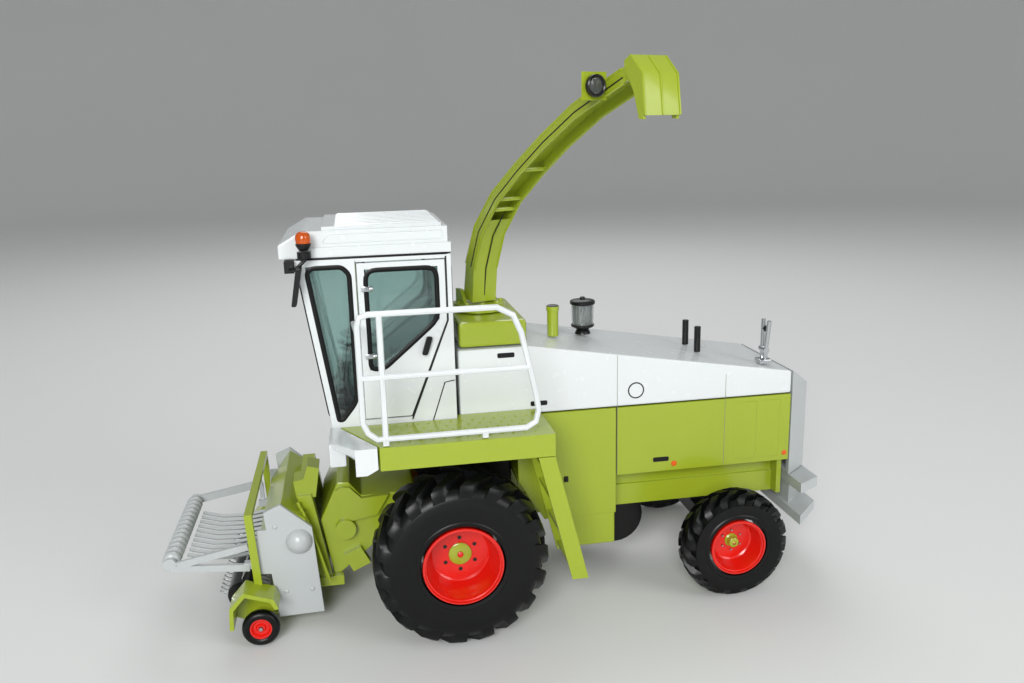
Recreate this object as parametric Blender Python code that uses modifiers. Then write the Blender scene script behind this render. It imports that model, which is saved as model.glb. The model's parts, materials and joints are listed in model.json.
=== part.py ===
"""1:32 die-cast model of a self-propelled forage harvester with a pickup header.

Frame: metres, +Z up, the machine's front towards -Y and its left side at +X. Every
piece is drawn in the machine's own place, where Y = 0 is the front axle, X = 0 the
middle plane and Z = 0 the ground, and hangs on a root empty that carries the origin.
"""

from math import atan2, cos, pi, radians, sin

import bmesh
import bpy
from mathutils import Matrix, Vector

MM = 0.001
COLLECTION = "forage_harvester_model"

# ---- clearances ------------------------------------------------------------------
SEAT = 0.3 * MM  # between faces that touch on the model
RUN = 0.5 * MM  # beside anything that turns

# ---- overall ---------------------------------------------------------------------
WHEELBASE = 85.7 * MM
BODY_HALF = 19.5 * MM  # half width of bonnet and side panels
SHEET = 1.2 * MM  # cast wall of the body
ORIGIN_X = 18.39 * MM  # middle of the whole box, seen from the middle plane
ORIGIN_Y = 18.45 * MM  # middle of the whole box, seen from the front axle

# ---- wheels ----------------------------------------------------------------------
FRONT_TYRE_R = 25.1 * MM
FRONT_TYRE_W = 18.0 * MM
FRONT_RIM_R = 11.5 * MM
FRONT_WHEEL_X = 38.2 * MM
REAR_TYRE_R = 17.0 * MM
REAR_TYRE_W = 10.4 * MM
REAR_RIM_R = 8.8 * MM
REAR_WHEEL_X = 33.4 * MM
KINGPIN_X = 25.2 * MM
FRONT_DISH = 9.0 * MM  # depth of the rim's disc behind its outer edge
REAR_DISH = 6.2 * MM
RIM_DISC = 1.2 * MM
AXLE_R = 3.6 * MM

# ---- chassis ---------------------------------------------------------------------
RAIL_X = 12.0 * MM
RAIL_W = 3.0 * MM
RAIL_LOW = 23.8 * MM
RAIL_HIGH = 30.8 * MM
WEB_T = 1.4 * MM
DRUM_Y = 55.0 * MM
DRUM_Z = 18.4 * MM
DRUM_R = 9.3 * MM
RAIL_FRONT_Y = 12.0 * MM
DECK_Z = 36.7 * MM
DECK_T = 1.5 * MM

# ---- body panels -----------------------------------------------------------------
PAINT_LINE_Z = 58.8 * MM  # white above, green below
PANEL_LOW_Z = 36.5 * MM
PANEL_FRONT_Y = 21.0 * MM
PANEL_SEAM_Y = 52.4 * MM
BODY_REAR_Y = 110.6 * MM
BONNET_FRONT_Y = 3.7 * MM
BONNET_SHOULDER_Y = 24.9 * MM
BONNET_HIGH_Z = 80.3 * MM
BONNET_REAR_Z = 66.4 * MM
PANEL_SKIRT = 12.4 * MM  # how far the front panel reaches down over the tank
SIDE_TANK_LOW_Z = 13.6 * MM
SIDE_TANK_FRONT_Y = 33.0 * MM
SIDE_TANK_DEEP = 4.6 * MM

# ---- tail ------------------------------------------------------------------------
TAIL_Y = 119.6 * MM
TAIL_HALF = 12.5 * MM
TAIL_DROP = 6.8 * MM  # how far the top slopes down on its way back
STEP_Z = 30.9 * MM
TAIL_LOW_Z = STEP_Z + SEAT
STEP_T = 3.4 * MM
STEP_HALF = 27.1 * MM
STEP_REAR_HALF = 22.6 * MM
BUMPER_HALF = 27.8 * MM
BUMPER_REAR_HALF = 17.5 * MM
BUMPER_FRONT_Y = 111.4 * MM
BUMPER_REAR_Y = 121.8 * MM
BUMPER_HIGH_Z = 20.2 * MM
BUMPER_T = 3.2 * MM

# ---- cab -------------------------------------------------------------------------
CAB_HALF = 22.5 * MM
CAB_WALL = 1.0 * MM
CAB_REAR_Y = 2.5 * MM
CAB_FLOOR_Z = 59.8 * MM
CAB_TOP_Z = 109.6 * MM
CAB_FOOT_Y = -33.6 * MM  # foot of the windscreen
CAB_BROW_Y = -40.6 * MM  # head of the windscreen
GLASS = 0.8 * MM
ROOF_HALF = 22.6 * MM
ROOF_FRONT_Y = -45.0 * MM
ROOF_REAR_Y = 2.9 * MM
ROOF_TOP_Z = 117.4 * MM
ROOF_CROWN = 0.9 * MM
ROOF_RIM = 1.0 * MM  # lip round the foot of the roof
ROOF_RIM_H = 3.0 * MM
DOOR_FRONT_Y = -24.4 * MM
DOOR_REAR_Y = 1.0 * MM
DOOR_WAIST_Z = 90.4 * MM
DOOR_FOOT_Y = -10.4 * MM
DOOR_TOP_Z = 108.4 * MM
DOOR_LOW_Z = 62.2 * MM
DOOR_GAP = 0.35 * MM
FRAME_W = 2.2 * MM  # painted border round a window
SEAT_HALF = 6.5 * MM

# ---- platform, rail and ladder ---------------------------------------------------
PLATFORM_OUT_X = 43.6 * MM
PLATFORM_TOP_Z = 60.8 * MM
PLATFORM_T = 6.6 * MM
PLATFORM_FRONT_Y = -21.4 * MM
PLATFORM_REAR_Y = 27.5 * MM
PLATFORM_SLANT = 10.4 * MM  # the deck reaches this much further forward at the cab
CORNER_FRONT_Y = -34.4 * MM
CORNER_LOW_Z = 53.2 * MM
RAIL_PLANE_X = 42.4 * MM
RAIL_TUBE_R = 0.85 * MM
HAND_LOW_Z = 62.9 * MM
HAND_MID_Z = 80.2 * MM
HAND_TOP_Z = 97.3 * MM
HAND_FRONT_Y = -25.0 * MM
LADDER_FOOT_Z = 15.6 * MM
LADDER_TOP_Y = 25.0 * MM
LADDER_FOOT_Y = 34.4 * MM
LADDER_W = 4.8 * MM
LADDER_RUNGS = 4

# ---- spout -----------------------------------------------------------------------
SPOUT_Y = 13.5 * MM
SPOUT_SWING = 70.0  # degrees from straight back towards the left side
HOUSING_TOP_Z = 88.4 * MM
TURRET_R = 8.0 * MM
TURRET_TOP_Z = 91.0 * MM
SPOUT_HINGE_Z = 93.0 * MM
SPOUT_HINGE_BACK = -3.4 * MM  # hinge axis, in front of the swivel's middle
CHUTE_W = 8.2 * MM
CHUTE_DEEP = 6.0 * MM  # at the foot
CHUTE_SHALLOW = 3.2 * MM  # at the end
CHUTE_WALL = 0.8 * MM
FLAP_W = CHUTE_W + 2.0 * MM
LAMP_REACH = 72.0 * MM
LAMP_Z = 152.4 * MM
LAMP_W = 6.6 * MM
LAMP_H = 6.2 * MM
LAMP_D = 5.4 * MM
LAMP_R = 2.3 * MM
# Under edge of the chute, as distance from the swivel's axis and height.
CHUTE_UNDER = ((3.0, 91.5), (4.6, 102.0), (9.8, 112.8), (19.8, 122.8),
               (32.4, 131.2), (45.6, 138.8), (59.8, 145.8), (81.2, 153.5))
CHUTE_OPEN_FROM = 4  # the under side is open beyond this point of the chute

# ---- things on the bonnet ---------------------------------------------------------
FILLER_X = 2.4 * MM
FILLER_Y = 36.4 * MM
FILLER_R = 1.8 * MM
FILLER_H = 8.6 * MM
CLEANER_X = -4.5 * MM
CLEANER_Y = 48.0 * MM
CLEANER_R = 4.1 * MM
CLEANER_H = 12.4 * MM
STUB_X = 5.3 * MM
STUB_Y = 84.0 * MM
STUB_R = 1.05 * MM
STUB_H = 8.4 * MM
REST_X = 13.5 * MM
REST_Y = 103.3 * MM

# ---- mirror and beacon -----------------------------------------------------------
BEACON_Z = 112.4 * MM
BEACON_R = 2.1 * MM

# ---- header ----------------------------------------------------------------------
LIFT_Y = -10.0 * MM
LIFT_Z = 33.0 * MM
FEEDER_HALF = 16.0 * MM
LUG_T = 1.8 * MM  # plates on the axle that carry the feeder's pivot
HEADER_HALF = 25.0 * MM
HEADER_WALL = 1.2 * MM
RIDGE_Y = -50.2 * MM
RIDGE_Z = 38.6 * MM
HOOP_Y = -59.2 * MM
HOOP_TOP_Z = 38.0 * MM
HOOP_W = 2.2 * MM
ROLLER_Y = -82.4 * MM
ROLLER_Z = 23.7 * MM
ROLLER_R = 2.5 * MM
ROLLER_HALF = 22.7 * MM
TINE_COUNT = 10
TINE_SPREAD = 15.2 * MM
TINE_R = 0.65 * MM
REEL_Y = -63.5 * MM
REEL_Z = 10.6 * MM
REEL_R = 7.0 * MM
REEL_HALF = 21.5 * MM
GAUGE_Y = -57.7 * MM
GAUGE_R = 5.4 * MM
GAUGE_W = 3.4 * MM
GAUGE_X = 32.1 * MM
GAUGE_RIM_R = 2.6 * MM

PAINTS = {
    "light_green": ((0.36, 0.43, 0.035), 0.35, 0.0),
    "white_paint": ((0.72, 0.74, 0.74), 0.35, 0.0),
    "grey_paint": ((0.50, 0.52, 0.53), 0.4, 0.0),
    "red_paint": ((0.72, 0.02, 0.01), 0.3, 0.0),
    "black_paint": ((0.02, 0.02, 0.02), 0.5, 0.0),
    "tyre_rubber": ((0.015, 0.015, 0.016), 0.7, 0.0),
    "tinted_glass": ((0.05, 0.12, 0.11), 0.05, 0.0),
    "amber_plastic": ((0.8, 0.16, 0.01), 0.2, 0.0),
    "bright_metal": ((0.7, 0.7, 0.72), 0.25, 1.0),
}

PIVOTS = {}


# ---- scene -----------------------------------------------------------------------
def clear_scene():
    for obj in list(bpy.data.objects):
        bpy.data.objects.remove(obj)


def new_collection(name):
    collection = bpy.data.collections.new(name)
    bpy.context.scene.collection.children.link(collection)
    return collection


def paint(name):
    if name in bpy.data.materials:
        return bpy.data.materials[name]
    color, roughness, metallic = PAINTS[name]
    material = bpy.data.materials.new(name)
    material.use_nodes = True
    shader = material.node_tree.nodes["Principled BSDF"]
    shader.inputs["Base Color"].default_value = (*color, 1.0)
    shader.inputs["Roughness"].default_value = roughness
    shader.inputs["Metallic"].default_value = metallic
    return material


def empty(name, pivot, parent=None, turn=0.0):
    """A carrier at pivot, in the machine's frame; turn swings it about +Z at rest."""
    carrier = bpy.data.objects.new(name, None)
    bpy.data.collections[COLLECTION].objects.link(carrier)
    base = PIVOTS[parent.name] if parent else Vector((0, 0, 0))
    carrier.location = Vector(pivot) - base
    carrier.rotation_euler.z = turn
    carrier.parent = parent
    PIVOTS[name] = Vector(pivot)
    return carrier


def root():
    return bpy.data.objects["origin"]


def link(obj, collection=COLLECTION):
    bpy.data.collections[collection].objects.link(obj)
    return obj


def from_bmesh(name, bm):
    mesh = bpy.data.meshes.new(name)
    bm.to_mesh(mesh)
    bm.free()
    return link(bpy.data.objects.new(name, mesh))


def as_mesh(obj):
    """The curve or modified object as a plain mesh object under the same name."""
    bpy.context.view_layer.update()
    graph = bpy.context.evaluated_depsgraph_get()
    mesh = bpy.data.meshes.new_from_object(obj.evaluated_get(graph))
    bm = bmesh.new()
    bm.from_mesh(mesh)
    bmesh.ops.remove_doubles(bm, verts=bm.verts, dist=1e-6)
    bm.to_mesh(mesh)
    bm.free()
    mesh.transform(obj.matrix_world)
    name = obj.name
    bpy.data.objects.remove(obj)
    solid = link(bpy.data.objects.new(name, mesh))
    solid.name = name
    return solid


# ---- shapes ----------------------------------------------------------------------
def box(name, low, high):
    low, high = Vector(low), Vector(high)
    size = high - low
    bm = bmesh.new()
    spread = Matrix.Translation((low + high) / 2) @ Matrix.Diagonal((*size, 1.0))
    bmesh.ops.create_cube(bm, size=1.0, matrix=spread)
    return from_bmesh(name, bm)


def along(direction):
    """Rotation that carries +Z onto direction."""
    return Vector((0, 0, 1)).rotation_difference(Vector(direction)).to_matrix().to_4x4()


def rod(name, start, end, radius, radius_end=None, sides=20):
    start, end = Vector(start), Vector(end)
    bm = bmesh.new()
    place = Matrix.Translation((start + end) / 2) @ along(end - start)
    bmesh.ops.create_cone(bm, cap_ends=True, segments=sides, radius1=radius,
                          radius2=radius if radius_end is None else radius_end,
                          depth=(end - start).length, matrix=place)
    return from_bmesh(name, bm)


def beam(name, start, end, width, height):
    """A square bar from start to end, width across X and height across the rest."""
    start, end = Vector(start), Vector(end)
    run = end - start
    side = Vector((1, 0, 0))
    up = run.cross(side).normalized()
    turn = Matrix((side, run.normalized(), up)).transposed().to_4x4()
    bm = bmesh.new()
    place = Matrix.Translation((start + end) / 2) @ turn
    spread = Matrix.Diagonal((width, run.length, height, 1.0))
    bmesh.ops.create_cube(bm, size=1.0, matrix=place @ spread)
    bmesh.ops.recalc_face_normals(bm, faces=bm.faces)
    return from_bmesh(name, bm)


AXES = {
    "X": Matrix(((0, 0, 1, 0), (1, 0, 0, 0), (0, 1, 0, 0), (0, 0, 0, 1))),
    "Y": Matrix(((-1, 0, 0, 0), (0, 0, 1, 0), (0, 1, 0, 0), (0, 0, 0, 1))),
    "Z": Matrix.Identity(4),
}


def plate(name, outline, axis, low, high):
    """An outline, drawn across axis, as a plate that spans low to high along it.

    Across X an outline holds (y, z), across Y it holds (-x, z) and across Z (x, y).
    """
    curve = bpy.data.curves.new(name, "CURVE")
    curve.dimensions = "2D"
    curve.fill_mode = "BOTH"
    curve.extrude = (high - low) / 2
    spline = curve.splines.new("POLY")
    spline.points.add(len(outline) - 1)
    for point, (u, v) in zip(spline.points, outline):
        point.co = (u, v, 0, 1)
    spline.use_cyclic_u = True
    shape = link(bpy.data.objects.new(name, curve))
    shape.matrix_world = AXES[axis] @ Matrix.Translation((0, 0, (low + high) / 2))
    return as_mesh(shape)


def tube(name, points, radius, cyclic=False, smooth=False, sides=2):
    curve = bpy.data.curves.new(name, "CURVE")
    curve.dimensions = "3D"
    curve.bevel_depth = radius
    curve.bevel_resolution = sides
    curve.use_fill_caps = True
    spline = curve.splines.new("NURBS" if smooth else "POLY")
    spline.points.add(len(points) - 1)
    for point, place in zip(spline.points, points):
        point.co = (*place, 1)
    spline.use_cyclic_u = cyclic
    if smooth:
        spline.order_u = 3
        spline.use_endpoint_u = True
        spline.resolution_u = 4
    return as_mesh(link(bpy.data.objects.new(name, curve)))


def area_of(profile):
    pairs = zip(profile, profile[1:] + profile[:1])
    return sum(a[0] * b[1] - b[0] * a[1] for a, b in pairs) / 2


def turned(name, profile, centre, axis, steps=40, closed=True):
    """A profile of (radius, distance along axis) turned about axis through centre."""
    profile = list(profile)
    if area_of(profile) > 0:
        profile.reverse()
    bm = bmesh.new()
    points = [bm.verts.new((radius, 0, reach)) for radius, reach in profile]
    for first, second in zip(points, points[1:] + points[:1]):
        if closed or first is not points[-1]:
            bm.edges.new((first, second))
    shape = from_bmesh(name, bm)
    screw = shape.modifiers.new("turn", "SCREW")
    screw.steps = steps
    screw.render_steps = steps
    screw.use_merge_vertices = True
    screw.merge_threshold = 1e-5
    shape.matrix_world = Matrix.Translation(centre) @ along(axis)
    solid = as_mesh(shape)
    bm = bmesh.new()
    bm.from_mesh(solid.data)
    bmesh.ops.recalc_face_normals(bm, faces=bm.faces)
    bm.to_mesh(solid.data)
    bm.free()
    return solid


def arc(centre, radius, start, end, count):
    """Points on an arc from start to end, in degrees, both included."""
    turns = [radians(start + (end - start) * k / (count - 1)) for k in range(count)]
    return [(centre[0] + radius * cos(t), centre[1] + radius * sin(t)) for t in turns]


def rounded(obj, width, segments=2, angle=30.0):
    bevel = obj.modifiers.new("rounding", "BEVEL")
    bevel.width = width
    bevel.segments = segments
    bevel.limit_method = "ANGLE"
    bevel.angle_limit = radians(angle)
    return obj


def helper(obj):
    """Moves a piece that only cuts or joins into the cutters' collection."""
    for collection in obj.users_collection:
        collection.objects.unlink(obj)
    link(obj, "cutters")
    obj.hide_render = True
    obj.display_type = "WIRE"
    return obj


def combine(obj, operation, others):
    for number, other in enumerate(others):
        modifier = obj.modifiers.new(f"{operation.lower()}_{number}", "BOOLEAN")
        modifier.operation = operation
        modifier.solver = "EXACT"
        modifier.object = helper(other)
    return obj


def cut(obj, *others):
    return combine(obj, "DIFFERENCE", others)


def join(obj, *others):
    return combine(obj, "UNION", others)


def finish(obj, name, material, carrier=None):
    """Names the piece, paints it and hangs it, with its helpers, on its carrier."""
    carrier = carrier or root()
    obj.name = name
    obj.data.name = name
    obj.data.materials.clear()
    obj.data.materials.append(paint(material))
    obj.data.shade_smooth()
    obj.data.set_sharp_from_angle(angle=radians(35))
    hang(obj, carrier)
    return obj


def hang(obj, carrier):
    obj.parent = carrier
    obj.location = -PIVOTS[carrier.name]
    for modifier in obj.modifiers:
        if modifier.type == "BOOLEAN":
            hang(modifier.object, carrier)


def mirrored(obj, name, carrier=None, material=None):
    """The same piece on the right-hand side, with its own mesh."""
    source = obj.copy()
    source.parent = None
    source.location = (0, 0, 0)
    link(source)
    bpy.context.view_layer.update()
    for modifier in source.modifiers:
        if modifier.type == "BOOLEAN":
            twin = modifier.object.copy()
            twin.parent = None
            twin.location = (0, 0, 0)
            link(twin, "cutters")
            twin.hide_render = True
            modifier.object = twin
    solid = as_mesh(source)
    solid.data.transform(Matrix.Diagonal((-1, 1, 1, 1)))
    solid.data.flip_normals()
    return finish(solid, name, material or obj.data.materials[0].name, carrier)


def side_name(side):
    return "left" if side > 0 else "right"


# ---- chassis ---------------------------------------------------------------------
def make_chassis():
    rail_rear = BODY_REAR_Y + 2 * SEAT
    frame = box("frame", (-BODY_HALF + SHEET + 2 * SEAT, PANEL_FRONT_Y, DECK_Z),
                (BODY_HALF - SHEET - 2 * SEAT, BODY_REAR_Y - SHEET, DECK_Z + DECK_T))
    parts = []
    for side in (1, -1):
        x = side * RAIL_X
        parts.append(box("rail", (x - RAIL_W / 2, RAIL_FRONT_Y, RAIL_LOW),
                         (x + RAIL_W / 2, rail_rear, RAIL_HIGH)))
        parts.append(box("web", (x - WEB_T / 2, PANEL_FRONT_Y + 1 * MM, RAIL_HIGH - 1 * MM),
                         (x + WEB_T / 2, rail_rear - 2 * MM, DECK_Z + 0.5 * MM)))
        low, high = sorted((side * (RAIL_X - 1 * MM), side * (BODY_HALF - SHEET - 2 * SEAT - 0.4 * MM)))
        parts.append(box("end", (low, rail_rear - 3.4 * MM, RAIL_LOW + 0.4 * MM),
                         (high, rail_rear - 1.8 * MM, DECK_Z + 0.5 * MM)))
    for y in (RAIL_FRONT_Y, WHEELBASE - 5 * MM, rail_rear - 4 * MM):
        parts.append(box("cross", (-RAIL_X, y, RAIL_LOW + 1 * MM),
                         (RAIL_X, y + 4 * MM, RAIL_HIGH - 1 * MM)))
    finish(join(frame, *parts), "chassis_frame", "light_green")
    inner = RAIL_X - RAIL_W / 2 - SEAT
    drum = rod("drum", (-inner, DRUM_Y, DRUM_Z), (inner, DRUM_Y, DRUM_Z), DRUM_R, sides=28)
    finish(rounded(drum, 0.6 * MM), "belly_drum", "black_paint")


def make_front_axle():
    low = FRONT_TYRE_R - 7.5 * MM
    high = FRONT_TYRE_R + 6.5 * MM
    housing = rounded(box("axle", (-13 * MM, -7.5 * MM, low), (13 * MM, 7.5 * MM, high)), 1 * MM)
    reach = FRONT_WHEEL_X + FRONT_TYRE_W / 2 - FRONT_DISH - RIM_DISC - SEAT
    tube_x = rod("tubes", (-reach, 0, FRONT_TYRE_R), (reach, 0, FRONT_TYRE_R), AXLE_R, sides=28)
    neck = box("neck", (-8 * MM, 5 * MM, FRONT_TYRE_R - 2 * MM),
               (8 * MM, RAIL_FRONT_Y - SEAT, FRONT_TYRE_R + 4 * MM))
    lugs = []
    for side in (1, -1):
        low, high = sorted((side * (FEEDER_HALF + SEAT), side * (FEEDER_HALF + SEAT + LUG_T)))
        outline = [(2 * MM, FRONT_TYRE_R - 1 * MM), (2 * MM, FRONT_TYRE_R + 2 * MM), (LIFT_Y + 1.6 * MM,
                                                                                      LIFT_Z + 2 * MM),
                   (LIFT_Y - 1.6 * MM, LIFT_Z + 2 * MM), (LIFT_Y - 2.4 * MM, LIFT_Z - 1 * MM), (-2 * MM,
                                                                                                FRONT_TYRE_R - 2 * MM)]
        lugs.append(plate("lug", outline, "X", low, high))
    return finish(join(housing, tube_x, neck, *lugs), "front_axle", "black_paint")


def make_rear_axle():
    top = REAR_TYRE_R + 2.6 * MM
    low = REAR_TYRE_R - 2.6 * MM
    inner = KINGPIN_X - 2.2 * MM - RUN
    body = rounded(box("beam", (-inner, WHEELBASE - 3 * MM, low), (inner, WHEELBASE + 3 * MM, top)),
                   0.6 * MM)
    pivot = box("pivot", (-6 * MM, WHEELBASE - 3 * MM, top - 1 * MM),
                (6 * MM, WHEELBASE + 3 * MM, RAIL_LOW + 1 * MM - SEAT))
    forks = []
    for side in (1, -1):
        for z in (low, top - 1.2 * MM):
            forks.append(box("fork", (min(side * (inner - 1 * MM), side * (KINGPIN_X + 1.6 * MM)),
                                      WHEELBASE - 2.4 * MM, z),
                             (max(side * (inner - 1 * MM), side * (KINGPIN_X + 1.6 * MM)),
                              WHEELBASE + 2.4 * MM, z + 1.2 * MM)))
    return finish(join(body, pivot, *forks), "rear_axle", "black_paint")


# ---- wheels ----------------------------------------------------------------------
def tyre_profile(outer, inner, width):
    half = width / 2
    crown = arc((outer - 0.22 * width, half - 0.28 * width), 0.24 * width, 0, 80, 4)
    crown = [(min(r, outer), z) for r, z in crown]
    wall = [(inner + 0.45 * (outer - inner), half), (inner + 1.0 * MM, half - 0.8 * MM),
            (inner, half - 1.6 * MM)]
    outer_side = [(outer, half - 0.30 * width)] + crown[1:] + wall
    other = [(r, -z) for r, z in reversed(outer_side)]
    return outer_side + other


def rim_profile(radius, width, dish, disc, hub):
    """Flanged barrel with a disc sunk by dish behind the outer flange."""
    half = width / 2
    barrel = radius - 0.9 * MM
    inside = barrel - 0.8 * MM
    face = half - dish
    return [(0, face + 0.8 * MM), (hub, face + 0.8 * MM), (hub + 0.6 * MM, face),
            (inside, face), (inside, half - 0.2 * MM), (radius - 0.5 * MM, half),
            (radius, half - 0.4 * MM), (radius, half - 0.9 * MM), (barrel, half - 1.3 * MM),
            (barrel, -half + 0.9 * MM), (inside, -half + 0.9 * MM), (inside, face - disc),
            (0, face - disc)]


def make_wheel(name, side, centre, tyre_r, tyre_w, rim_r, dish, carrier, steps):
    tyre = turned("tyre", tyre_profile(tyre_r, rim_r - 0.9 * MM + SEAT, tyre_w - 1 * MM),
                  centre, (side, 0, 0), steps)
    finish(tyre, f"{name}_tyre_{side_name(side)}", "tyre_rubber", carrier)
    rim = turned("rim", rim_profile(rim_r, tyre_w, dish, RIM_DISC, 0.42 * rim_r),
                 centre, (side, 0, 0), steps, closed=False)
    finish(rim, f"{name}_rim_{side_name(side)}", "red_paint", carrier)


def make_front_wheels():
    for side in (1, -1):
        centre = Vector((side * FRONT_WHEEL_X, 0, FRONT_TYRE_R))
        carrier = empty(f"front_wheel_{side_name(side)}_axis", centre, root())
        make_wheel("front", side, centre, FRONT_TYRE_R, FRONT_TYRE_W, FRONT_RIM_R, FRONT_DISH, carrier, 32)


def make_rear_wheels():
    for side in (1, -1):
        pin = Vector((side * KINGPIN_X, WHEELBASE, REAR_TYRE_R))
        steer = empty(f"rear_steer_{side_name(side)}_axis", pin, root())
        centre = Vector((side * REAR_WHEEL_X, WHEELBASE, REAR_TYRE_R))
        spin = empty(f"rear_wheel_{side_name(side)}_axis", centre, steer)
        block = rod("block", pin - Vector((0, 0, 1.2 * MM)), pin + Vector((0, 0, 1.2 * MM)), 1.7 * MM)
        disc_back = REAR_WHEEL_X + REAR_TYRE_W / 2 - REAR_DISH - RIM_DISC - SEAT
        spindle = rod("spindle", pin + Vector((side * 0.5 * MM, 0, 0)),
                      Vector((side * disc_back, WHEELBASE, REAR_TYRE_R)), 1.1 * MM)
        finish(join(block, spindle), f"rear_knuckle_{side_name(side)}", "black_paint", steer)
        make_wheel("rear", side, centre, REAR_TYRE_R, REAR_TYRE_W, REAR_RIM_R, REAR_DISH, spin, 28)


# ---- body ------------------------------------------------------------------------
def make_bonnet():
    low = PAINT_LINE_Z + SEAT
    outline = [(BONNET_FRONT_Y, low), (BODY_REAR_Y, low), (BODY_REAR_Y, BONNET_REAR_Z),
               (BONNET_SHOULDER_Y, BONNET_HIGH_Z), (BONNET_FRONT_Y, BONNET_HIGH_Z)]
    shell = rounded(plate("bonnet", outline, "X", -BODY_HALF, BODY_HALF), 0.8 * MM, 2, 20)
    t = SHEET
    hollow = [(BONNET_FRONT_Y + t, low - t), (BODY_REAR_Y - t, low - t),
              (BODY_REAR_Y - t, BONNET_REAR_Z - t), (BONNET_SHOULDER_Y, BONNET_HIGH_Z - 1.1 * t),
              (BONNET_FRONT_Y + t, BONNET_HIGH_Z - 1.1 * t)]
    inside = plate("bonnet_inside", hollow, "X", -BODY_HALF + t, BODY_HALF - t)
    return finish(cut(shell, inside), "bonnet", "white_paint")


def make_side_panels():
    out = BODY_HALF
    seam = PANEL_SEAM_Y - SEAT / 2
    skirt = PANEL_LOW_Z - PANEL_SKIRT
    outline = [(PANEL_FRONT_Y, PANEL_LOW_Z + 1 * MM), (PANEL_FRONT_Y + 8 * MM, skirt), (seam, skirt),
               (seam, PAINT_LINE_Z), (PANEL_FRONT_Y, PAINT_LINE_Z)]
    front = plate("front_panel", outline, "X", out - SHEET, out)
    tank = rounded(box("tank", (out - SIDE_TANK_DEEP, SIDE_TANK_FRONT_Y + 0.25 * MM, SIDE_TANK_LOW_Z),
                       (out - 0.25 * MM, seam - 0.25 * MM, DECK_Z - SEAT)), 0.5 * MM)
    finish(join(front, tank), "front_panel_left", "light_green")
    mirrored(front, "front_panel_right")
    rear = plate("rear_panel", [(PANEL_SEAM_Y + SEAT / 2, PANEL_LOW_Z), (BODY_REAR_Y, PANEL_LOW_Z),
                                (BODY_REAR_Y, PAINT_LINE_Z), (PANEL_SEAM_Y + SEAT / 2, PAINT_LINE_Z)],
                 "X", out - SHEET, out)
    finish(rounded(rear, 0.25 * MM, 1), "rear_panel_left", "light_green")
    mirrored(rear, "rear_panel_right")


def make_cutter_housing():
    """Green chopper housing under the cab, between the front wheels."""
    low = FRONT_TYRE_R + 7.4 * MM
    rear = BONNET_FRONT_Y + 16 * MM
    top = CAB_FLOOR_Z - 3 * MM
    outline = [(rear, low), (rear, top), (-27 * MM, top), (-22 * MM, 48 * MM), (-6 * MM, 40 * MM),
               (-2 * MM, low)]
    block = plate("housing", outline, "X", -15 * MM, 15 * MM)
    return finish(rounded(block, 0.8 * MM), "chopper_housing", "black_paint")


def make_tail():
    front = BODY_REAR_Y + SEAT
    outline = [(-BODY_HALF, front), (BODY_HALF, front), (TAIL_HALF, TAIL_Y), (-TAIL_HALF, TAIL_Y)]
    block = plate("tail", outline, "Z", TAIL_LOW_Z, BONNET_REAR_Z)
    slope = [(front - 1 * MM, BONNET_REAR_Z), (front, BONNET_REAR_Z), (TAIL_Y + 1 * MM,
                                                                       BONNET_REAR_Z - TAIL_DROP),
             (TAIL_Y + 1 * MM, BONNET_REAR_Z + 3 * MM), (front - 1 * MM, BONNET_REAR_Z + 3 * MM)]
    wedge = plate("tail_slope", slope, "X", -2 * BODY_HALF, 2 * BODY_HALF)
    t = SHEET
    hollow = plate("tail_inside", [(-BODY_HALF + t, front - t), (BODY_HALF - t, front - t),
                                   (TAIL_HALF - 0.6 * t, TAIL_Y - t), (-TAIL_HALF + 0.6 * t, TAIL_Y - t)],
                   "Z", TAIL_LOW_Z + t, BONNET_REAR_Z - TAIL_DROP - t)
    return finish(cut(block, wedge, hollow), "tail_panel", "grey_paint")


def make_bumper():
    front = BODY_REAR_Y + 3 * SEAT
    step = plate("step", [(-STEP_HALF, front), (STEP_HALF, front), (STEP_REAR_HALF, TAIL_Y),
                          (-STEP_REAR_HALF, TAIL_Y)], "Z", STEP_Z - STEP_T, STEP_Z)
    lower = plate("bar", [(-BUMPER_HALF, BUMPER_FRONT_Y), (BUMPER_HALF, BUMPER_FRONT_Y),
                          (BUMPER_REAR_HALF, BUMPER_REAR_Y), (-BUMPER_REAR_HALF, BUMPER_REAR_Y)],
                  "Z", BUMPER_HIGH_Z - BUMPER_T, BUMPER_HIGH_Z)
    back = plate("back", [(-BODY_HALF + 2 * MM, BUMPER_FRONT_Y + 1 * MM), (BODY_HALF - 2 * MM,
                                                                           BUMPER_FRONT_Y + 1 * MM),
                          (TAIL_HALF - 1 * MM, TAIL_Y - 1 * MM), (-TAIL_HALF + 1 * MM, TAIL_Y - 1 * MM)],
                 "Z", BUMPER_HIGH_Z - 1 * MM, STEP_Z - 1 * MM)
    return finish(join(step, lower, back), "rear_bumper", "grey_paint")


# ---- cab -------------------------------------------------------------------------
def front_y(z, inset=0.0):
    """Y of the windscreen's outer plane at height z."""
    share = (z - CAB_FLOOR_Z) / (CAB_TOP_Z - CAB_FLOOR_Z)
    return CAB_FOOT_Y + (CAB_BROW_Y - CAB_FOOT_Y) * share + inset


def cab_outline(inset):
    return [(front_y(CAB_FLOOR_Z, inset), CAB_FLOOR_Z), (CAB_REAR_Y - inset, CAB_FLOOR_Z),
            (CAB_REAR_Y - inset, CAB_TOP_Z), (front_y(CAB_TOP_Z, inset), CAB_TOP_Z)]


def door_outline(gap):
    return [(DOOR_FRONT_Y + gap, DOOR_LOW_Z + gap), (DOOR_FOOT_Y - gap, DOOR_LOW_Z + gap),
            (DOOR_REAR_Y - gap, DOOR_WAIST_Z), (DOOR_REAR_Y - gap, DOOR_TOP_Z - gap),
            (DOOR_FRONT_Y + gap, DOOR_TOP_Z - gap)]


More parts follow.
